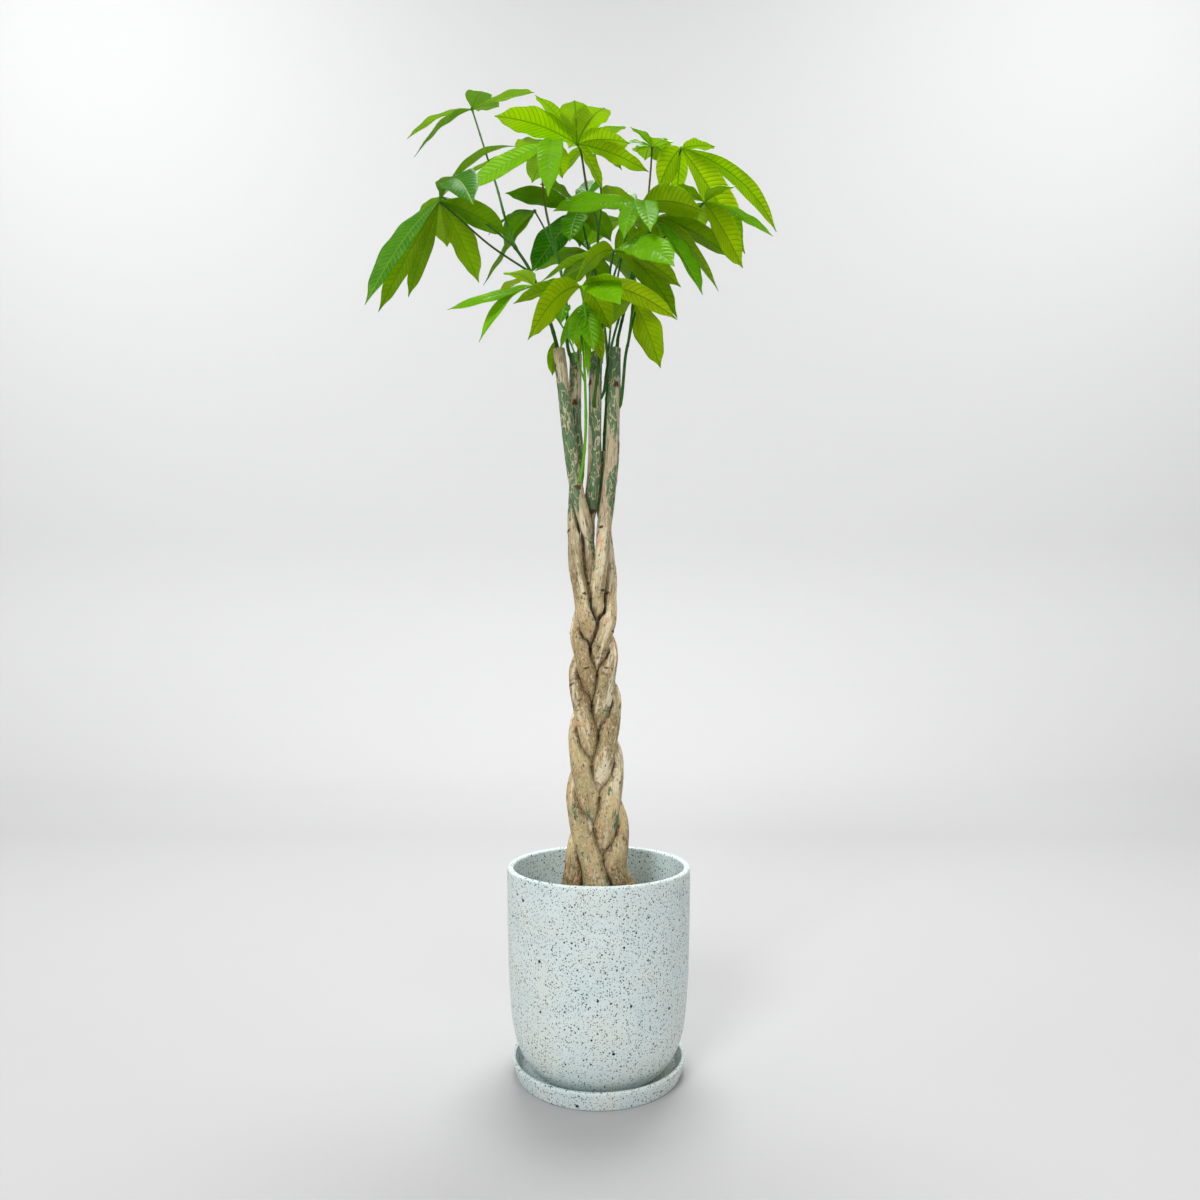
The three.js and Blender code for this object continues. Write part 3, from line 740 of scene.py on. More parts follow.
def put(tree, socket, value):
    """Gives an input its plain value, or a link where value is another node's output."""
    if isinstance(value, bpy.types.NodeSocket):
        tree.links.new(value, socket)
    else:
        socket.default_value = value


def add(tree, kind, values=None, **settings):
    """Adds a node. values go to its inputs, by name or number: a link or a plain value."""
    made = tree.nodes.new(kind)
    for key, value in settings.items():
        setattr(made, key, value)
    for key, value in (values or {}).items():
        put(tree, made.inputs[key], value)
    return made


def new_material(name):
    """An empty material with its Principled shader and output."""
    material = bpy.data.materials.new(name)
    material.use_nodes = True
    tree = material.node_tree
    tree.nodes.clear()
    shader = add(tree, "ShaderNodeBsdfPrincipled")
    output = add(tree, "ShaderNodeOutputMaterial", {"Surface": shader.outputs[0]})
    return material, tree, shader, output


def own_marks(tree, name):
    """The three numbers that a piece's points carry under name."""
    mark = add(tree, "ShaderNodeAttribute", attribute_name=name)
    return add(tree, "ShaderNodeSeparateXYZ", {0: mark.outputs["Vector"]}).outputs[:3]


def coated(tree, colour, coats):
    """colour with coats laid over it in turn. A coat is (value, start, end, most, paint): it is
    absent where value is at start, covers its most where value is at end, and its paint is a
    hex code or another colour in the tree."""
    for value, start, end, most, paint in coats:
        share = add(tree, "ShaderNodeMapRange", {
            "Value": value,
            "From Min": start,
            "From Max": end,
            "To Max": most,
        }).outputs[0]
        colour = add(tree, "ShaderNodeMix", {
            FACTOR: share,
            FIRST: colour,
            SECOND: linear(paint) if isinstance(paint, str) else paint,
        }, data_type="RGBA").outputs[MIXED]
    return colour


def finish(tree, shader, colour, relief, strength, depth_mm, roughness, gloss):
    """The last of a material: its colour, a bump of the relief's strength and depth, and how
    rough and how glossy it is. Gives the bump back."""
    bump = add(tree, "ShaderNodeBump", {
        "Height": relief,
        "Strength": strength,
        "Distance": depth_mm / 1000,
    }).outputs[0]
    tree.links.new(colour, shader.inputs["Base Color"])
    tree.links.new(bump, shader.inputs["Normal"])
    put(tree, shader.inputs["Roughness"], roughness)
    shader.inputs["Specular IOR Level"].default_value = gloss
    return bump


def stone_grains(tree, place, colour):
    """Grains of every kind over colour. A pattern of cells gives each possible grain its place
    and its chance; the cells with the best chances hold one, as large as its chance is good."""
    stray = add(tree, "ShaderNodeTexNoise", {"Vector": place, "Scale": 1000 / 1.4, "Detail": 1})
    moved = add(tree, "ShaderNodeVectorMath", {
        0: stray.outputs["Color"],
        1: (GRAIN_STRAY / 1000,) * 3,
        2: place,
    }, operation="MULTIPLY_ADD").outputs[0]
    for cell_mm, radius, share, code in STONE_GRAINS:
        cells = add(tree, "ShaderNodeTexVoronoi", {"Vector": moved, "Scale": 1000 / cell_mm})
        chance = add(tree, "ShaderNodeSeparateColor", {0: cells.outputs["Color"]}).outputs[0]
        reach = add(tree, "ShaderNodeMapRange", {
            "Value": chance,
            "From Min": 1 - share,
            "To Min": SMALLEST_GRAIN * radius / cell_mm,
            "To Max": radius / cell_mm,
        }).outputs[0]
        held = add(tree, "ShaderNodeMath", {0: chance, 1: 1 - share},
                   operation="GREATER_THAN").outputs[0]
        reach = add(tree, "ShaderNodeMath", {0: reach, 1: held}, operation="MULTIPLY").outputs[0]
        within = add(tree, "ShaderNodeMath", {0: reach, 1: cells.outputs["Distance"]},
                     operation="SUBTRACT").outputs[0]
        colour = coated(tree, colour, [(within, 0, GRAIN_EDGE * radius / cell_mm, 1, code)])
    return colour


def shares(tree, rows, operation, **settings):
    """Two shares joined by an operation. A share's row is (value, start, end, most): it is 0
    where value is at start, and most where value is at end."""
    ramps = []
    for value, start, end, most in rows:
        ramps.append(add(tree, "ShaderNodeMapRange", {
            "Value": value,
            "From Min": start,
            "From Max": end,
            "To Max": most,
        }, **settings).outputs[0])
    return add(tree, "ShaderNodeMath", dict(enumerate(ramps)), operation=operation).outputs[0]


def painted_inner_light(tree, place):
    """Where light is painted: 1 on the pot's inner wall above the mix, and 0 elsewhere on the pot
    and saucer.
    """
    flat = add(tree, "ShaderNodeVectorMath", {0: place, 1: (1000, 1000, 0)}, operation="MULTIPLY")
    from_axis = add(tree, "ShaderNodeVectorMath", {0: flat.outputs[0]}, operation="LENGTH")
    level = add(tree, "ShaderNodeSeparateXYZ", {0: place}).outputs["Z"]
    level = add(tree, "ShaderNodeMath", {0: level, 1: 1000}, operation="MULTIPLY").outputs[0]
    return shares(tree, [
        (from_axis.outputs["Value"], *LIT_INNER_RADIUS, 1),
        (level, *LIT_INNER_HEIGHT, 1),
    ], "MULTIPLY")


def cast_stone():
    """Cast stone: pale blue-grey cement with fine crushed stone, rubbed smooth after casting.
    It gives a matte face with pale, brown and dark grains of 1 to 4 mm and a few of 6 mm. The
    finest grains and the grit in the bump are too fine to show, and are drawn 1 mm coarse."""
    material, tree, shader, _ = new_material("cast_stone")
    place = add(tree, "ShaderNodeTexCoord").outputs["Object"]
    cloud = add(tree, "ShaderNodeTexNoise", {"Vector": place, "Scale": 1000 / 70, "Detail": 3})
    tints = add(tree, "ShaderNodeTexNoise", {"Vector": place, "Scale": 1000 / 65, "Detail": 2})
    grit = add(tree, "ShaderNodeTexNoise", {"Vector": place, "Scale": 1000 / 1.1, "Detail": 2})
    colour = coated(tree, linear("#CBDCDC"), [
        (cloud.outputs["Fac"], 0, 1, 1, "#E8F2EE"),
        (tints.outputs["Fac"], 0.45, 0.7, 0.4, "#DADCD2"),
        # painted light: the inner wall above the mix made paler against the shade of the rim and
        # trunks
        (painted_inner_light(tree, place), 0, 1, 0.75, "#E6FCFF"),
    ])
    colour = stone_grains(tree, place, colour)
    finish(tree, shader, colour, relief=grit.outputs["Fac"], strength=0.25, depth_mm=0.6,
           roughness=0.5, gloss=0.4)
    return material


def potting_mix():
    """Potting mix: crumbs of peat and composted bark, a little moist. It gives a matte dark
    brown with paler fibres of a few millimetres."""
    material, tree, shader, _ = new_material("potting_mix")
    place = add(tree, "ShaderNodeTexCoord").outputs["Object"]
    crumbs = add(tree, "ShaderNodeTexNoise", {
        "Vector": place,
        "Scale": 1000 / 3.8,
        "Detail": 6,
    }).outputs["Fac"]
    colour = coated(tree, linear("#1E1610"), [(crumbs, 0.35, 0.7, 1, "#4E3B2A")])
    finish(tree, shader, colour, relief=crumbs, strength=0.9, depth_mm=4,
           roughness=0.95, gloss=0.5)
    return material


def bark_chips():
    """Composted pine bark: flakes torn along the grain. It gives matte red-brown to grey
    chips, each of its own shade."""
    material, tree, shader, _ = new_material("bark_chips")
    shade = own_marks(tree, "shade")[0]
    place = add(tree, "ShaderNodeTexCoord").outputs["Object"]
    grain = add(tree, "ShaderNodeTexNoise", {"Vector": place, "Scale": 1000 / 2, "Detail": 3})
    colour = coated(tree, linear("#2C1D14"), [(shade, 0, 1, 1, "#7A6148")])
    finish(tree, shader, colour, relief=grain.outputs["Fac"], strength=0.6, depth_mm=1.5,
           roughness=0.85, gloss=0.5)
    return material


def living_bark(tree, patterns, young):
    """Where the cork is worn through to living bark: how far over the edge of a worn patch a
    point is, and 1 in the patches except along the thin winding tracks that cross them. The
    younger the bark, the more of it is worn through."""
    needed = add(tree, "ShaderNodeMapRange", {
        "Value": young,
        "To Min": 0.62,
        "To Max": 0.45,
    }).outputs[0]
    over = add(tree, "ShaderNodeMath", {0: patterns["worn"], 1: needed},
               operation="SUBTRACT").outputs[0]
    track = add(tree, "ShaderNodeMath", {0: patterns["tracks"], 1: 0.5}, operation="SUBTRACT")
    track = add(tree, "ShaderNodeMath", {0: track.outputs[0]}, operation="ABSOLUTE").outputs[0]
    return over, shares(tree, [(over, 0, 0.012, 1), (track, 0.012, 0.03, 0.92)], "MULTIPLY")


def bark_pores(tree, place, colour):
    """Pale corky pores and dark specks over colour: round spots in those cells of a pattern
    that have the best chances."""
    cells = add(tree, "ShaderNodeTexVoronoi", {"Vector": place, "Scale": 1000 / PORE_SPACING})
    chances = add(tree, "ShaderNodeSeparateColor", {0: cells.outputs["Color"]}).outputs
    for number, least, radius, most, code in BARK_PORES:
        reach = add(tree, "ShaderNodeMapRange", {
            "Value": chances[number],
            "From Min": least,
            "To Max": radius,
        }).outputs[0]
        within = add(tree, "ShaderNodeMath", {0: reach, 1: cells.outputs["Distance"]},
                     operation="SUBTRACT").outputs[0]
        colour = coated(tree, colour, [(within, 0, 0.06, most, code)])
    return colour


def money_tree_bark():
    """Bark of a young money tree: thin and corky, tan to grey, worn through to green living bark in
    patches crossed by corky worm tracks, with brown leaf scars and peeled spots. It gives a matte
    face with fine cracks along the trunk. Shade is painted on it: dark in the crevices between the
    trunks, and darker near the soil and where a trunk goes under another, with dark brown spots
    gathering there."""
    material, tree, shader, _ = new_material("money_tree_bark")
    skin = add(tree, "ShaderNodeAttribute", attribute_name="skin").outputs["Vector"]
    ways = {}
    for way, squeeze in BARK_WAYS.items():
        ways[way] = add(tree, "ShaderNodeMapping", {
            "Vector": skin,
            "Scale": (1, 1, squeeze),
        }).outputs[0]
    patterns = {}
    for name, (way, size_mm, detail, roughness) in BARK_PATTERNS.items():
        patterns[name] = add(tree, "ShaderNodeTexNoise", {
            "Vector": ways[way],
            "Scale": 1000 / size_mm,
            "Detail": detail,
            "Roughness": roughness,
        }).outputs["Fac"]
    fine, cracks = patterns["fine"], patterns["cracks"]
    scar, crevice, young = own_marks(tree, "mark")
    # Painted shade, darker near the soil and where the trunk goes under another; and the brown
    # bands
    painted_shade, brown, _ = own_marks(tree, "shade_and_bands")
    # Dark brown spots: the noise of real spots plus a tenth of the painted shade, so they gather
    # where shade is painted
    dirt_and_shade = add(tree, "ShaderNodeMath", {0: painted_shade, 1: 0.1, 2: patterns["dirt_and_shade"]},
               operation="MULTIPLY_ADD").outputs[0]
    scarred = add(tree, "ShaderNodeMath", {0: scar, 1: fine}, operation="MULTIPLY").outputs[0]
    over, green = living_bark(tree, patterns, young)
    living = coated(tree, linear("#2C5630"), [(fine, 0.3, 0.7, 1, "#6A9266")])
    wood = coated(tree, linear("#6E5032"), [(fine, 0, 1, 1, "#B08E60")])

    colour = coated(tree, linear("#958154"), [
        (patterns["tone"], 0.36, 0.64, 1, "#D3BD8A"),
        (brown, 0.35, 1, 0.4, "#8C6B40"),
        (young, 0.3, 1, 0.55, "#CCC0A6"),
        (patterns["streaks"], 0.53, 0.6, 0.8, "#F0E4C2"),
        (patterns["peeled"], 0.61, 0.63, 0.7, "#DDA87C"),
        # painted shade near the soil and under other trunks
        (painted_shade, 0.1, 1, 0.5, "#5E4C28"),
        # dark brown spots, partly real and partly painted shade, more of them near the soil and
        # under other trunks
        (dirt_and_shade, 0.56, 0.63, 0.75, "#5E4A26"),
        (fine, 0.5, 0.7, 0.5, "#EFE6CE"),
        (over, -0.03, -0.005, 0.55, "#CDBE9C"),
        (green, 0, 1, 1, living),
        (cracks, 0.41, 0.32, 0.7, "#54422C"),
    ])
    colour = bark_pores(tree, ways["drawn"], colour)
    colour = coated(tree, colour, [
        (scarred, 0.12, 0.34, 1, "#55341C"),
        # painted shade in the crevices between trunks, darkest on the trunk that goes under
        (crevice, 0.35, 1, 0.75, "#2A1C10"),
        (crevice, 1.2, SAWN, 1, wood),
    ])
    relief = add(tree, "ShaderNodeMath", {0: cracks, 1: fine}, operation="ADD").outputs[0]
    relief = add(tree, "ShaderNodeMath", {0: green, 1: -0.35, 2: relief},
                 operation="MULTIPLY_ADD").outputs[0]
    finish(tree, shader, colour, relief=relief, strength=0.75, depth_mm=1.3,
           roughness=0.7, gloss=0.35)
    return material


def green_stalk():
    """Green stalks: smooth waxy skin over pith. It gives a dark to bright green with a soft
    gloss, turning red-brown towards some leaves, with faint paler lines along it, drawn
    1.4 mm apart, which is coarser than they are."""
    material, tree, shader, _ = new_material("green_stalk")
    bright, flushed, _ = own_marks(tree, "look")
    place = add(tree, "ShaderNodeTexCoord").outputs["Object"]
    upright = add(tree, "ShaderNodeMapping", {"Vector": place, "Scale": (1, 1, 0.1)}).outputs[0]
    lines = add(tree, "ShaderNodeTexNoise", {
        "Vector": upright,
        "Scale": 1000 / 1.4,
        "Detail": 2,
    }).outputs["Fac"]
    colour = coated(tree, linear("#174A12"), [
        (bright, 0, 1, 1, "#62AE14"),
        (flushed, 0, 1, 1, "#8A4A22"),
        (lines, 0.45, 0.75, 0.25, "#7FB040"),
    ])
    finish(tree, shader, colour, relief=lines, strength=0.3, depth_mm=0.5,
           roughness=0.38, gloss=0.25)
    return material


def leaf_ribs(tree):
    """How far a point of a leaflet is from its nearest side vein, in millimetres, and how far
    it is on a vein or the midrib. The place along the midrib, shifted with the way out from it,
    runs to and fro between the veins; those of the two halves take turns."""
    across, along, half = own_marks(tree, "blade")
    out = add(tree, "ShaderNodeMath", {0: across}, operation="ABSOLUTE").outputs[0]
    share = add(tree, "ShaderNodeMath", {0: out, 1: half}, operation="DIVIDE").outputs[0]
    curved = add(tree, "ShaderNodeMath", {0: share, 1: out}, operation="MULTIPLY").outputs[0]
    right = add(tree, "ShaderNodeMath", {0: across, 1: 0.0}, operation="GREATER_THAN").outputs[0]
    shifted = along
    for way, times in ((out, VEIN_LEAN), (curved, VEIN_CURVE), (right, VEIN_SPACING / 2)):
        shifted = add(tree, "ShaderNodeMath", {0: way, 1: times, 2: shifted},
                      operation="MULTIPLY_ADD").outputs[0]
    from_vein = add(tree, "ShaderNodeMath", {0: shifted, 1: VEIN_SPACING / 2},
                    operation="PINGPONG").outputs[0]
    ribs = [(from_vein, *VEIN_COLOUR), (out, *MIDRIB_COLOUR)]
    return from_vein, shares(tree, ribs, "MAXIMUM", interpolation_type="SMOOTHSTEP")


def money_tree_leaf():
    """Leaflets: a thin waxy blade, deep green and glossy above, paler and softer below, that
    lets light through. It gives a pale midrib and side veins every 9 mm with the blade
    arched between them, and a yellow-green glow where the light comes from behind. The net of
    finest veins is drawn 1.7 mm wide, a little coarser than it is."""
    material, tree, shader, output = new_material("money_tree_leaf")
    from_vein, ribs = leaf_ribs(tree)
    upper, pale, _ = own_marks(tree, "look")
    place = add(tree, "ShaderNodeTexCoord").outputs["Object"]
    cloud = add(tree, "ShaderNodeTexNoise", {"Vector": place, "Scale": 1000 / 22, "Detail": 3})
    shift = add(tree, "ShaderNodeMath", {0: cloud.outputs["Fac"], 1: 0.5, 2: -0.25},
                operation="MULTIPLY_ADD").outputs[0]
    # How pale the green is: the leaf's own tone with painted light and shade, paler on backlit
    # leaves and darker inside the crown, mottled by the cloud
    paleness = add(tree, "ShaderNodeMath", {0: pale, 1: shift}, operation="ADD").outputs[0]
    greens = {}
    for side, (darkest, palest, on_ribs) in LEAF_GREENS.items():
        greens[side] = coated(tree, linear(darkest), [
            (paleness, 0, 1, 1, palest),
            (ribs, 0, 1, 1, on_ribs),
        ])
    colour = coated(tree, greens["below"], [(upper, 0, 1, 1, greens["above"])])

    net = add(tree, "ShaderNodeTexVoronoi", {"Vector": place, "Scale": 1000 / 1.7},
              feature="DISTANCE_TO_EDGE")
    relief = add(tree, "ShaderNodeMath", {0: net.outputs[0], 1: 0.12},
                 operation="MULTIPLY").outputs[0]
    for value, times in ((from_vein, 0.5 / VEIN_SPACING), (ribs, -0.4)):
        relief = add(tree, "ShaderNodeMath", {0: value, 1: times, 2: relief},
                     operation="MULTIPLY_ADD").outputs[0]
    roughness = add(tree, "ShaderNodeMapRange", {
        "Value": upper,
        "To Min": 0.5,
        "To Max": 0.24,
    }).outputs[0]
    bump = finish(tree, shader, colour, relief=relief, strength=0.8, depth_mm=2,
                  roughness=roughness, gloss=0.28)
    shader.inputs["Specular Tint"].default_value = linear("#E4F4B4")
    glow = add(tree, "ShaderNodeBsdfTranslucent", {"Color": greens["through"], "Normal": bump})
    blend = add(tree, "ShaderNodeMixShader", {0: 0.5, 1: shader.outputs[0], 2: glow.outputs[0]})
    tree.links.new(blend.outputs[0], output.inputs["Surface"])
    return material


# Pot, saucer and potting mix

def rounded(points, times=3, closed=False):
    """Corner cutting: each pass puts two points a quarter of the way in from the ends of every
    side in place of its corners. A point written twice keeps its corner."""
    points = np.array(points, float)
    for _ in range(times):
        after = np.roll(points, -1, axis=0) if closed else points[1:]
        before = points if closed else points[:-1]
        pairs = np.stack([before * 0.75 + after * 0.25, before * 0.25 + after * 0.75], axis=1)
        cut = pairs.reshape(-1, 2)
        points = cut if closed else np.concatenate([points[:1], cut[1:-1], points[-1:]])
    return points


def turned(profile):
    """Closed rings: each (radius, height) point of the profile turned once round the axis."""
    angle = full_turn(LATHE_SIDES)
    radius, height = profile[:, :1], profile[:, 1:]
    return np.stack([
        radius * np.cos(angle),
        radius * np.sin(angle),
        np.broadcast_to(height, (len(profile), LATHE_SIDES)),
    ], axis=-1)


def saucer_piece(stone):
    """The dish's profile from the middle of its foot, out and over the lip, to the middle of
    its floor, rounded and turned."""
    lip = SAUCER_WALL / 2
    inner = SAUCER_RADIUS - SAUCER_WALL
    floor_edge = SAUCER_FOOT - SAUCER_WALL
    rings = turned(rounded([
        (2, 0),
        (SAUCER_FOOT - 6, 0),
        (SAUCER_FOOT - 1, 0),
        (SAUCER_FOOT + 1, 4),
        (SAUCER_RADIUS - 0.3, SAUCER_HEIGHT - 5),
        (SAUCER_RADIUS, SAUCER_HEIGHT - lip),
        (SAUCER_RADIUS, SAUCER_HEIGHT),
        (SAUCER_RADIUS - lip, SAUCER_HEIGHT + 0.3),
        (inner, SAUCER_HEIGHT),
        (inner, SAUCER_HEIGHT - lip),
        (floor_edge + 1, SAUCER_FLOOR + 5),
        (floor_edge - 1, SAUCER_FLOOR),
        (floor_edge - 12, SAUCER_FLOOR),
        (2, SAUCER_FLOOR),
    ], times=4))
    quads, triangles = ring_faces(len(rings), LATHE_SIDES)
    return make_piece("saucer_dish", capped(rings), [quads, triangles], [stone])


def pot_piece(stone):
    """The pot's closed section, from its foot up the wall, over the round rim and down the
    inside to the drainage hole, rounded and turned."""
    base = SAUCER_FLOOR + GAP
    height = POT_TOP - base
    inner = POT_RADIUS - POT_WALL
    section = np.array([
        (DRAIN_RADIUS, 0),
        (DRAIN_RADIUS, 0),
        (80, 0),
        (82, 0),
        (97, 5),
        (109.5, 17),
        (118, 32),
        (124.3, 47),
        (128.8, 64),
        (132.3, 90),
        (134.8, 120),
        (137.2, 160),
        (139, 230),
        (139.8, 270),
        (POT_RADIUS, height - 7),
        (POT_RADIUS, height - 1),
        (POT_RADIUS - POT_WALL / 2, height + 1),
        (inner, height - 1),
        (inner - 0.3, height - 8),
        (inner - 3, 200),
        (inner - 6, 110),
        (114, 50),
        (98, 24),
        (82, POT_FLOOR),
        (DRAIN_RADIUS, POT_FLOOR),
        (DRAIN_RADIUS, POT_FLOOR),
    ])
    section[:, 1] += base
    rings = turned(rounded(section, closed=True))
    quads = loop_faces(len(rings), LATHE_SIDES)
    return make_piece("pot_shell", rings.reshape(-1, 3), [quads], [stone])


def soil_piece(mix):
    """The potting mix: its profile from the middle of the bottom up the wall and in over the
    top, turned, with the top heaped and dented by slow waves."""
    base = SAUCER_FLOOR + GAP
    inner = POT_RADIUS - POT_WALL - GAP - 0.4
    low = np.array([
        (2, base + POT_FLOOR + GAP),
        (78, base + POT_FLOOR + GAP),
        (95, base + 25),
        (111, base + 50),
        (inner - 6, base + 110),
        (inner - 3, SOIL_TOP - 4),
    ])
    reach = np.linspace(inner - 5, 2, 60)
    top = np.stack([reach, SOIL_TOP + 2 * (1 - reach / inner)], axis=1)
    rings = turned(np.concatenate([low, top]))
    x, y = rings[..., 0], rings[..., 1]
    rng = np.random.default_rng(5)
    swell = np.zeros(x.shape)
    for length in SOIL_SWELLS:
        for _ in range(4):
            turn = rng.uniform(0, 2 * np.pi)
            pace = 2 * np.pi / length
            phase = rng.uniform(0, 2 * np.pi)
            swell += length / 90 * np.sin(pace * (x * np.cos(turn) + y * np.sin(turn)) + phase)
    rings[len(low):, :, 2] += swell[len(low):] * smoothstep(inner, inner - 12, reach)[:, None]
    quads, triangles = ring_faces(len(rings), LATHE_SIDES)
    return make_piece("soil_bed", capped(rings), [quads, triangles], [mix])


def swung(a, b, angle):
    """The pair (a, b) turned by angle."""
    return a * np.cos(angle) - b * np.sin(angle), a * np.sin(angle) + b * np.cos(angle)


def chip_piece(bark):
    """Bark chips and crumbs on the mix: flat blocks of eight corners, each corner moved a
    little, thrown over the disc and turned by the seed, clear of the trunks."""
    rng = np.random.default_rng(11)
    corners = np.array([(x, y, z) for z in (-1, 1) for y in (-1, 1) for x in (-1, 1)], float)
    faces = np.array([
        (0, 2, 3, 1), (4, 5, 7, 6), (0, 1, 5, 4), (2, 6, 7, 3), (0, 4, 6, 2), (1, 3, 7, 5),
    ])
    reach = (POT_RADIUS - POT_WALL - 14) * np.sqrt(rng.uniform(0, 1, CHIPS))
    turn = rng.uniform(0, 2 * np.pi, CHIPS)
    middle = np.stack([reach * np.cos(turn), reach * np.sin(turn)], axis=1)
    feet = np.array([ring for _, ring, _ in TRUNKS.values()], float)
    off = np.linalg.norm(middle[:, None] - feet[None], axis=-1).min(axis=1)
    middle = middle[off > CHIP_CLEAR]
    many = len(middle)
    size = rng.uniform(1, 3, (many, 1)) ** 1.6
    half = size * np.stack([
        rng.uniform(0.8, 1.3, many),
        rng.uniform(0.5, 0.9, many),
        rng.uniform(0.2, 0.5, many),
    ], axis=1)
    blocks = corners[None] * half[:, None] * rng.uniform(0.65, 1.1, (many, 8, 3))
    yaw = rng.uniform(0, 2 * np.pi, (many, 1))
    tilt = rng.normal(0, 0.35, (many, 1))
    x, y, z = blocks[..., 0], blocks[..., 1], blocks[..., 2]
    x, z = swung(x, z, tilt)
    x, y = swung(x, y, yaw)
    height = SOIL_TOP + 2.5 + rng.uniform(0, 2.5, (many, 1))
    points = np.stack([x + middle[:, :1], y + middle[:, 1:], z + height], axis=-1)
    quads = faces[None] + 8 * np.arange(many)[:, None, None]
    shade = np.repeat(rng.uniform(0, 1, (many, 1)), 8, axis=0) * np.ones((1, 3))
    return make_piece("soil_chips", points.reshape(-1, 3), [quads.reshape(-1, 4)], [bark],
                      marks={"shade": shade}, sharp=25)


# Trunks

def plait_points(start, height):
    """Five-strand flat plait. With a the strand's angle, its way across is its swing times
    cos a with a little of cos 3a, nearly straight from edge to edge, and its way back is
    minus the squared-off sine of 2a. The angle goes slowly while the strand comes in from
    either edge in front, and fast while it goes out behind."""
    share = np.interp(height, *zip(*FRONT_SHARE))
    turns = start / 180 + 2 / PLAIT_TURN * (PHASE_HEIGHT - np.maximum(height, PHASE_FLOOR))
    half, part = np.divmod(turns + share - 0.5, 1)
    quarter = np.where(part < share, part / share, 1 + (part - share) / (1 - share))
    angle = np.pi / 2 * (2 * half + quarter)
    swing = np.interp(height, *zip(*PLAIT_SWING))
    across = (np.cos(angle) + STRAIGHTNESS * np.cos(3 * angle)) / (1 + STRAIGHTNESS)
    back = -np.tanh(SQUARENESS * np.sin(2 * angle)) / np.tanh(SQUARENESS)
    shift = np.interp(height, *zip(*PLAIT_SHIFT))
    return np.stack([shift + swing * across, PLAIT_DEPTH * swing * back], axis=-1)


def trunk_points(start, ring, free):
    """The way-points of a trunk's middle line: from its foot in the soil into the plait, and
    freely above it."""
    height = np.arange(TRUNK_FOOT, PLAIT_TOP + 15, 19.0)
    weight = smoothstep(RING_BLEND_FROM, RING_BLEND_TO, height)[:, None]
    flat = np.array(ring) * (1 - weight) + plait_points(start, height) * weight
    return np.concatenate([np.column_stack([flat, height]), np.array(free, float)])


def upright_frame(ahead):
    """Two directions square to ahead for a line that climbs: one to the side, and one away
    from the front."""
    side = unit(np.cross(FRONT, ahead))
    return side, np.cross(ahead, side)


def trunk_line(start, ring, free):
    """A trunk's middle line at even steps, its direction there, and its length."""
    points = trunk_points(start, ring, free)
    length = line_length(points)
    centre, ahead = smooth_line(points, np.linspace(0, 1, int(length / TRUNK_STEP)))
    return centre, ahead, length


def trunk_section(height):
    """Half the width of a trunk at height, and its depth as a share of its width."""
    half = np.interp(height, *zip(*TRUNK_WIDTH)) / 2
    return half, np.interp(height, *zip(*TRUNK_FLATNESS))


def pressed(name, rings, middle):
    """How far each point of a trunk's skin is from the nearest other trunk, in millimetres,
    and less than nothing inside one; and 1 where that other trunk lies over this one, seen
    from the skin's own side of the plait, to 0 where it lies under. The nearest place on
    another trunk's middle line is found by stepping along it a few times, and its section
    there is an ellipse."""
    clear = np.full(rings.shape[:2], np.inf)
    under = np.zeros(rings.shape[:2])
    fore = np.clip((middle[:, None, 1] - rings[..., 1]) / FRONT_SIDE, -1, 1)
    for other, line in TRUNKS.items():
        if other == name:
            continue
        centre, ahead, _ = trunk_line(*line)
        side, away = upright_frame(ahead)
        step = np.linalg.norm(np.gradient(centre, axis=0), axis=1)
        level = np.abs(rings[:, :1, 2] - centre[:, 2]).argmin(axis=1)
        index = np.repeat(level[:, None], rings.shape[1], axis=1)
        for _ in range(5):
            off = rings - centre[index]
            moved = index + (off * ahead[index]).sum(axis=-1) / step[index]
            index = np.clip(np.rint(moved), 0, len(centre) - 1).astype(int)
        off = rings - centre[index]
        half, flat = trunk_section(centre[index, 2])
        out = np.hypot((off * side[index]).sum(axis=-1), (off * away[index]).sum(axis=-1) / flat)
        nearer = (rings[..., 2] < centre[-1, 2]) & (out - half < clear)
        clear = np.where(nearer, out - half, clear)
        over = fore * (middle[:, None, 1] - centre[index][..., 1])
        under = np.where(nearer, smoothstep(-OVERLAP, OVERLAP, over), under)
    return clear, under


def way_round(around, facing, radius):
    """How far round a trunk each point is from the side it faces, in millimetres."""
    return (np.mod(around - facing + np.pi, 2 * np.pi) - np.pi) * radius


def shed_leaves(around, along, radius, length, rng):
    """Bumps and scars where leaves were shed. Each one left a ridge with a groove above it
    round the trunk and a lipped oval scar on its own side, and the next one stood further up
    and LEAF_TURN round. Ridges and lips are bell curves of the way from them."""
    bumps = np.zeros(np.broadcast(around, along).shape)
    scar = np.zeros(bumps.shape)
    place, facing = FIRST_RING, rng.uniform(0, 6.28)
    while place < length - 8:
        worn = PLAIT_WEAR if place < PLAIT_TOP - TRUNK_FOOT else 1.0
        rise = along - place
        bent = rise + RING_DIP * np.cos(around - facing)
        ringed = 0.45 * bell(bent, 1.6) - 0.3 * bell(bent - 3.4, 1.4)
        q = (way_round(around, facing, radius) / SCAR_WIDTH) ** 2 + (rise / SCAR_HEIGHT) ** 2
        lipped = 0.7 * bell(np.sqrt(q) - 1, 0.35) - 0.35 * np.exp(-q * 2)
        bumps += worn * (ringed + lipped)
        scar = np.maximum(scar, worn * 0.75 * smoothstep(1.5, 0.5, q))
        scar = np.maximum(scar, worn * 0.3 * bell(bent - 2.4, 0.9))
        place += rng.uniform(*RING_SPACING)
        facing += np.radians(LEAF_TURN)
    return bumps, scar


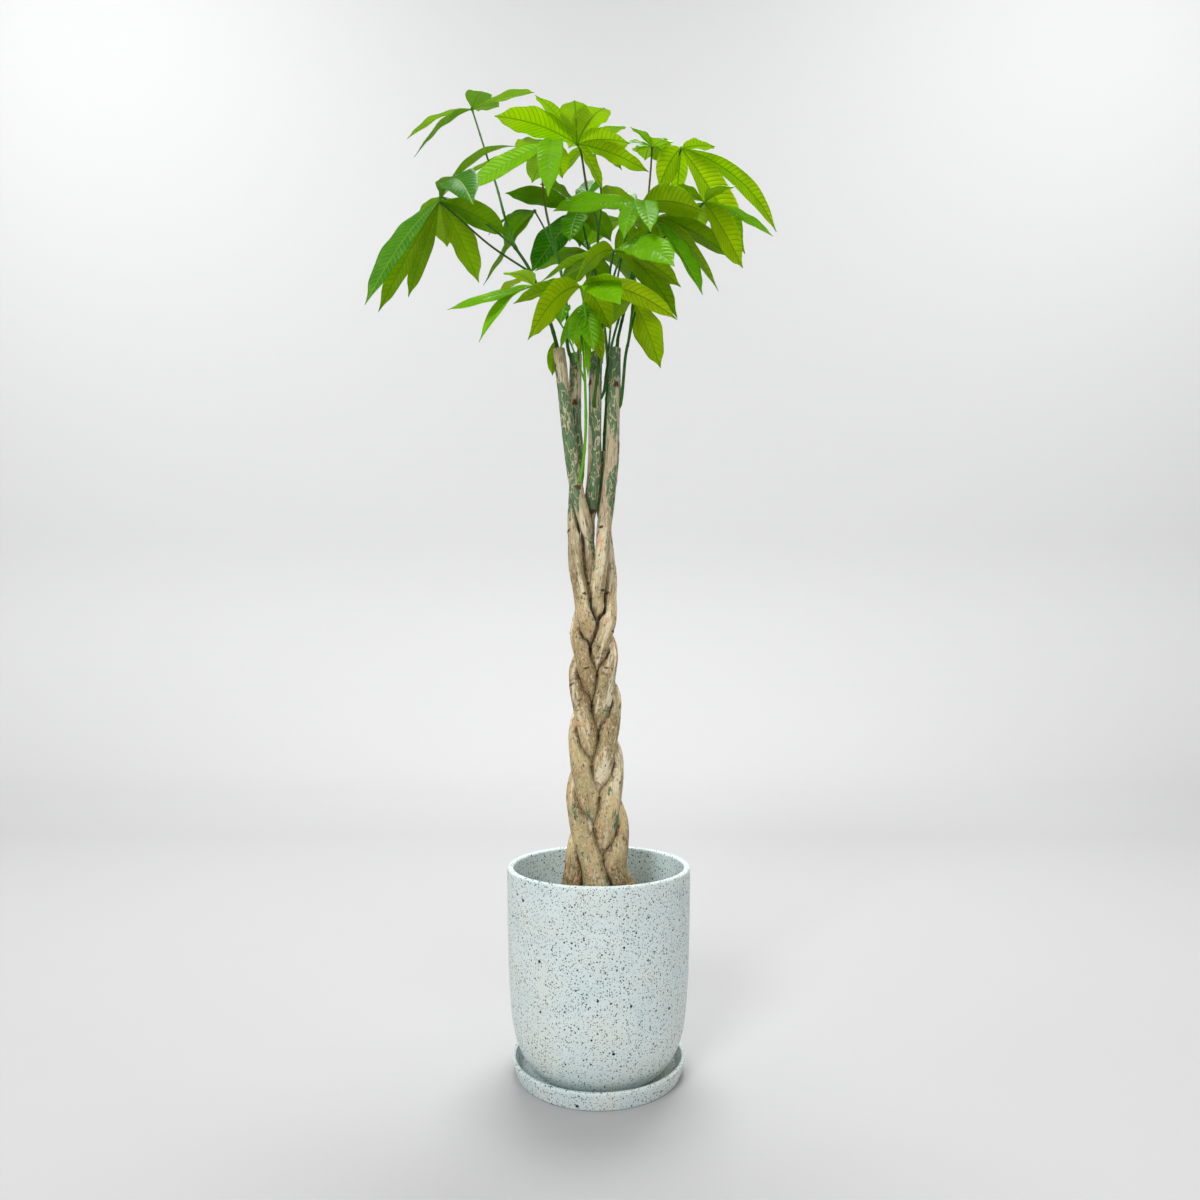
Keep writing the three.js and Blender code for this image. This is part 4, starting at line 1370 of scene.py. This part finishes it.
def pruned_stems(name, around, height, radius):
    """Bumps and scars where side stems were cut off: a raised lip round a hollow."""
    bumps = np.zeros(np.broadcast(around, height).shape)
    scar = np.zeros(bumps.shape)
    for level, degrees, size in KNOTS[name]:
        gap = way_round(around, np.radians(degrees - 90), radius)
        q = np.hypot(gap, height - level) / size
        bumps += 0.9 * bell(q - 1, 0.3) - smoothstep(0.95, 0.3, q)
        scar = np.maximum(scar, smoothstep(1.25, 0.8, q))
    return bumps, scar


def trunk_skin(name):
    """A trunk: rings round its middle line, at the trunk's radius, plus slow lumps, a flare at the
    soil, and what shed leaves and pruned stems left. It is drawn in where it meets another trunk,
    and most where it goes under it, so that a crevice runs between the two. Its sawn top is closed
    by smaller rings in the same plane. Its marks are: mark, with scars, painted shade in the
    crevices and how young the bark is; a second one with painted shade near the soil and where the
    trunk goes under another, brown bands and nothing; and skin, the bark laid out straight, in
    metres, with a stretch of its own for each trunk."""
    seed = sum(name.encode())
    centre, ahead, length = trunk_line(*TRUNKS[name])
    side, away = upright_frame(ahead)
    around, height = full_turn(TRUNK_SIDES)[None, :], centre[:, 2:]
    along = np.linspace(0, length, len(centre))[:, None]
    radius, flat = trunk_section(height)
    blank = np.zeros((len(centre), TRUNK_SIDES))

    rings_shed, scar = shed_leaves(around, along, radius, length, np.random.default_rng(seed))
    knots, cuts = pruned_stems(name, around, height, radius)
    scar = np.maximum(scar, cuts)
    foot = smoothstep(*FOOT_HEIGHT, height)
    flare = 4 * np.exp(-np.abs(height - SOIL_TOP) / 7) * (1 + 0.3 * np.sin(3 * around + seed))
    bumps = waves(around, along, TRUNK_LUMPS, seed) + rings_shed + knots + flare
    bumps += foot * waves(around, along, FOOT_LUMPS, seed + 1)

    def placed(extra):
        out = (radius + extra) * np.cos(around)
        back = (radius * flat + extra) * np.sin(around)
        return centre[:, None] + out[..., None] * side[:, None] + back[..., None] * away[:, None]

    clear, under = pressed(name, placed(0), centre)
    tuck = TUCK_DEPTH * (0.2 + 0.8 * under) * smoothstep(TUCK, 0, clear) ** 2
    # Painted shade in the crevices where trunks meet, most on the trunk that goes under
    crevice = smoothstep(CREVICE, 0, clear) * (0.45 + 0.55 * under)
    # Painted shade near the soil and wherever another trunk lies over this one
    painted_shade = np.maximum(smoothstep(SHADE_REACH, 0, clear) * under, 1.2 * smoothstep(*SOIL_SHADE_HEIGHT, height))
    brown = 0.5 + 0.5 * np.sin(along / BROWN_BAND + seed + 0.7 * np.sin(along / BROWN_DRIFT))
    rings = placed(bumps - tuck)
    skin = np.stack([radius * np.cos(around), radius * np.sin(around), along + blank], axis=-1)
    marks = {
        "mark": np.stack([scar, crevice, smoothstep(*YOUNG_HEIGHT, height) + blank], axis=-1),
        "shade_and_bands": np.stack([painted_shade, brown + blank, blank], axis=-1),
        "skin": (skin + (seed % 97 * 10, 0, 0)) / 1000,
    }
    sawn = [(rings[-1] - centre[-1]) * share + centre[-1] + UP * rise for share, rise in SAWN_TOP]
    for key, values in marks.items():
        marks[key] = np.concatenate([values, np.repeat(values[-1:], len(sawn), axis=0)])
    marks["mark"][-len(sawn):] = (0, SAWN, 1)
    return np.concatenate([rings, np.array(sawn)]), marks


def trunk_piece(name, bark):
    """A trunk's skin as one closed mesh."""
    rings, marks = trunk_skin(name)
    quads, triangles = ring_faces(len(rings), TRUNK_SIDES)
    marks = {key: capped(value) for key, value in marks.items()}
    return make_piece(f"bark_{name}", capped(rings), [quads, triangles], [bark],
                      marks=marks, sharp=55)


# Shoots

def seen(point):
    """A point written as it looks from the front: across and height where its sight line meets
    the plane through the trunks, and its depth behind (+) or before (-) that plane."""
    across, height, depth = point
    reach = (EYE_DISTANCE + depth) / EYE_DISTANCE
    return np.array([across * reach, depth, EYE_HEIGHT + (height - EYE_HEIGHT) * reach])


def leaf_width(t):
    """Half width along a leaflet as a share of its greatest: t^1.2 (1 - t)^0.9 scaled to 1,
    drawn in to a drip tip over the last seventh."""
    shape = t ** 1.2 * (1 - t) ** 0.9 / 0.2384
    return shape * (1 - 0.45 * smoothstep(0.86, 0.97, t))


def leaflet_line(hub, leaf, t):
    """A leaflet's middle line at the shares t of its way from hub to tip, and the directions
    to its side and up from it. The line is a parabola whose middle point is lifted by arch,
    and roll turns the blade about it."""
    across, height, depth, _, arch, roll, *rest = leaf
    bend = rest[0] if rest else LEAF_BEND
    tip = seen((across, height, depth))
    middle = hub + (tip - hub) * bend + UP * 2 * arch
    centre = (1 - t) ** 2 * hub + 2 * t * (1 - t) * middle + t ** 2 * tip
    ahead = unit(2 * (1 - t) * (middle - hub) + 2 * t * (tip - middle))
    level = unit((tip - hub) * (1, 1, 0))
    flat_side = np.cross(level, UP)[None]
    flat_up = unit(np.cross(flat_side, ahead))
    angle = np.radians(roll)
    side = flat_side * np.cos(angle) + flat_up * np.sin(angle)
    up = flat_up * np.cos(angle) - flat_side * np.sin(angle)
    return centre, side, up


def blade_lift(t, off, share, half, length, rng):
    """How far the middle of the blade is lifted off its plane: folded up from the midrib,
    drooping towards its edges, waved along them, and arched between the side veins."""
    fold, droop, wave = rng.uniform(*LEAF_FOLD), rng.uniform(*LEAF_DROOP), rng.uniform(*LEAF_WAVE)
    ripples, phase = rng.uniform(*LEAF_RIPPLES), rng.uniform(0, 2 * np.pi, 2)
    out = np.abs(off)
    from_vein = t * length + VEIN_LEAN * out + VEIN_CURVE * np.abs(share) * out
    from_vein = from_vein + np.where(off > 0, VEIN_SPACING / 2, 0)
    arched = VEIN_ARCH * np.cos(2 * np.pi * from_vein / VEIN_SPACING + np.pi)
    arched = arched * smoothstep(0.0, 5.0, out) * (1 - np.abs(share) ** 6)
    ripple = np.sin(2 * np.pi * ripples * t + np.where(off > 0, phase[0], phase[1]))
    lift = fold * (np.hypot(out, 1.8) - 1.8) - droop * half * np.abs(share) ** 3
    lift = lift + wave * half * np.abs(share) ** 2 * ripple * np.sin(np.pi * t) ** 0.5
    return lift + arched * smoothstep(0.02, 0.15, t) * smoothstep(1.0, 0.85, t)


def closed_skin(rings, look, blade):
    """A skin over rings, closed at both ends, with its marks: (points, quads, triangles, marks)."""
    quads, triangles = ring_faces(len(rings), rings.shape[1])
    return capped(rings), quads, triangles, {"blade": capped(blade), "look": capped(look)}


def leaflet_skin(hub, leaf, pale, rng):
    """One leaflet: flat rings carried along its middle line from hub to tip. A ring runs across the
    upper face and back across the lower one, which carries most of the midrib. Its marks are:
    blade, with the way across, the way along and the half width in millimetres; and look, with 1 on
    the upper face, how pale it is, which holds its own tone and painted light and shade, and a
    spare number of its own."""
    t = np.linspace(0, 1, LEAF_ROWS)[:, None]
    centre, side, up = leaflet_line(hub, leaf, t)
    length = line_length(centre)
    half = np.maximum(leaf[3] / 2 * leaf_width(t), np.where(t < 0.5, LEAF_NECK, LEAF_TIP))
    spread = np.linspace(-1, 1, LEAF_COLUMNS + 1)
    spread = np.sign(spread) * np.abs(spread) ** 1.4
    share = np.concatenate([spread, spread[::-1]])[None, :]
    face = np.concatenate([np.ones(len(spread)), -np.ones(len(spread))])[None, :]

    off = share * half
    lift = blade_lift(t, off, share, half, length, rng)
    thick = BLADE_THICKNESS / 2 * (1 - 0.45 * share ** 2) + 0.8 * bell(t, 0.04)
    rib = bell(off, MIDRIB_WIDTH) * (1.0 - 0.85 * t) * np.where(face < 0, *MIDRIB_DEPTH)
    lift = lift + face * thick - rib
    rings = centre[:, None] + off[..., None] * side[:, None] + lift[..., None] * up[:, None]

    blank = np.zeros(off.shape)
    # The leaflet's paleness, partly its own tone and partly painted light and shade
    tone = np.clip(pale + rng.normal(0, 0.1), 0, 1)
    look = np.stack([(face > 0) + blank, tone + blank, rng.uniform() + blank], axis=-1)
    blade = np.stack([off, t * length + blank, half + blank], axis=-1)
    return closed_skin(rings, look, blade)


def stalk_skin(start, end, bright, red, path, rng):
    """A stalk: rings along its curve, from its first radius to its last, with a swollen foot,
    a swollen joint at its head and low rings where leaves were shed."""
    points = np.array([seen(point) for point in path])
    length = line_length(points)
    t = np.linspace(0, 1, int(length / STALK_STEP))
    centre, ahead = smooth_line(points, t)
    away = UP if abs(ahead[len(ahead) // 2, 1]) > 0.8 else FRONT
    side = unit(np.cross(away, ahead))
    other = np.cross(ahead, side)
    along = t * length
    radius = start + (end - start) * t
    radius = radius * (1 + 0.45 * bell(along, 7) + 0.5 * bell(length - along, 5))
    place = 30.0
    while place < length - 20 and start > RINGED_STALK:
        radius = radius * (1 + 0.22 * bell(along - place, 2.2))
        place += rng.uniform(*STALK_RINGS)
    turn = full_turn(STALK_SIDES)[None, :, None]
    out = np.cos(turn) * side[:, None] + np.sin(turn) * other[:, None]
    rings = centre[:, None] + radius[:, None, None] * out
    look = np.stack([bright + 0 * t, red * smoothstep(0.6, 0.95, t), 0 * t], axis=-1)
    look = np.repeat(look[:, None], STALK_SIDES, axis=1)
    return closed_skin(rings, look, 0 * look)


def hub_skin(centre, bright):
    """A leaf's hub: a small ball of rings where stalk and leaflets meet."""
    slope = np.linspace(0.3, np.pi - 0.3, 7)[:, None]
    turn = full_turn(STALK_SIDES)[None, :]
    ball = np.stack([
        np.sin(slope) * np.cos(turn),
        np.sin(slope) * np.sin(turn),
        -np.cos(slope) + 0 * turn,
    ], axis=-1)
    rings = centre + HUB_RADIUS * ball
    look = np.array([bright, 0.0, 0.0]) * np.ones(rings.shape)
    return closed_skin(rings, look, 0 * look)


def shoot_piece(name, leaf, stalk):
    """One leafy shoot as one mesh: its leaflets in the leaf material, and its stalks and hubs
    in the stalk material."""
    shoot = SHOOTS[name]
    rng = np.random.default_rng(sum(name.encode()))
    blades, green = [], []
    for hub, pale, leaflets in shoot["leaves"]:
        centre = seen(hub)
        # The hub's green follows the leaf's paleness, painted light and shade included
        green.append(hub_skin(centre, 0.3 + 0.5 * pale))
        for leaflet in leaflets:
            blades.append(leaflet_skin(centre, leaflet, pale, rng))
    for line in shoot["stalks"]:
        green.append(stalk_skin(*line, rng))
    points, faces, marks = joined(blades + green)
    leafy = [sum(len(skin[k]) for skin in blades) for k in (1, 2)]
    slots = np.concatenate([np.arange(len(f)) >= many for f, many in zip(faces, leafy)])
    return make_piece(f"foliage_{name}", points, faces, [leaf, stalk], marks=marks, slots=slots)


# Assembly

def settle(piece, slot, *nodes):
    """The piece rides on the plant's one body and stands for those solids. slot is not used."""
    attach(piece, "root")
    if nodes:
        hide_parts(*nodes)


stone = cast_stone()
settle(saucer_piece(stone), "saucer", "saucer")
settle(pot_piece(stone), "pot", "pot")
settle(soil_piece(potting_mix()), "soil", "soil")
settle(chip_piece(bark_chips()), "soil")
bark = money_tree_bark()
for name in TRUNKS:
    settle(trunk_piece(name, bark), "bark", name)
leaf = money_tree_leaf()
stalk = green_stalk()
for name in SHOOTS:
    settle(shoot_piece(name, leaf, stalk), "foliage", name)


# Studio

def backdrop():
    """A pale sweep: a floor that curves up into a wall far behind, as one strip of paper, a
    little lighter towards the wall, so that floor and wall look alike under light from above."""
    material, tree, shader, _ = new_material("paper_sweep")
    place = add(tree, "ShaderNodeTexCoord").outputs["Object"]
    back = add(tree, "ShaderNodeSeparateXYZ", {0: place}).outputs["Y"]
    ramp = (back, PAPER_DARKEST / 1000, PAPER_PALEST / 1000, 1, "#DEDEDE")
    colour = coated(tree, linear("#BBBBBB"), [ramp])
    tree.links.new(colour, shader.inputs["Base Color"])
    shader.inputs["Roughness"].default_value = 0.95
    shader.inputs["Specular IOR Level"].default_value = 0.1
    turn = np.linspace(0, np.pi / 2, SWEEP_STEPS)
    curve = np.stack([
        SWEEP_CURVE + SWEEP_RADIUS * np.sin(turn),
        SWEEP_RADIUS - SWEEP_RADIUS * np.cos(turn),
    ], axis=1)
    wall = SWEEP_CURVE + SWEEP_RADIUS
    line = np.concatenate([[(SWEEP_FRONT, 0)], curve, [(wall, SWEEP_HALF)]])
    points = np.array([(x, y, z) for y, z in line for x in (-SWEEP_HALF, SWEEP_HALF)], float)
    row = 2 * np.arange(len(line) - 1)
    quads = np.stack([row, row + 1, row + 3, row + 2], axis=1)
    sweep = make_piece("paper_sweep", points, [quads], [material])


def soft_box(name, place, target, size, power, spread):
    """A square soft box at place that faces target; the camera doesn't see it."""
    data = bpy.data.lights.new(name, "AREA")
    data.size = size
    data.energy = power
    data.spread = np.radians(spread)
    light = bpy.data.objects.new(name, data)
    light.location = place
    light.rotation_euler = (Vector(target) - Vector(place)).to_track_quat("-Z", "Y").to_euler()
    light.visible_camera = False
    bpy.context.scene.collection.objects.link(light)


def studio():
    """Plain studio light: the soft boxes in a pale room."""
    for name, box in SOFT_BOXES.items():
        soft_box(name, *box)
    world = bpy.data.worlds.new("pale_room")
    world.use_nodes = True
    sky = world.node_tree.nodes["Background"]
    sky.inputs["Color"].default_value = linear("#F6F7F8")
    sky.inputs["Strength"].default_value = 0.34
    bpy.context.scene.world = world
    bpy.context.scene.view_settings.view_transform = "Standard"


def front_camera():
    """The camera at the photograph's eye, looking up a little."""
    data = bpy.data.cameras.new("front_camera")
    data.sensor_width = SENSOR
    data.lens = LENS
    camera = bpy.data.objects.new("front_camera", data)
    camera.location = (EYE_ACROSS / 1000, -EYE_DISTANCE / 1000, EYE_HEIGHT / 1000)
    camera.rotation_euler = (np.radians(90 + EYE_PITCH), 0, 0)
    bpy.context.scene.collection.objects.link(camera)
    bpy.context.scene.camera = camera


backdrop()
studio()
front_camera()
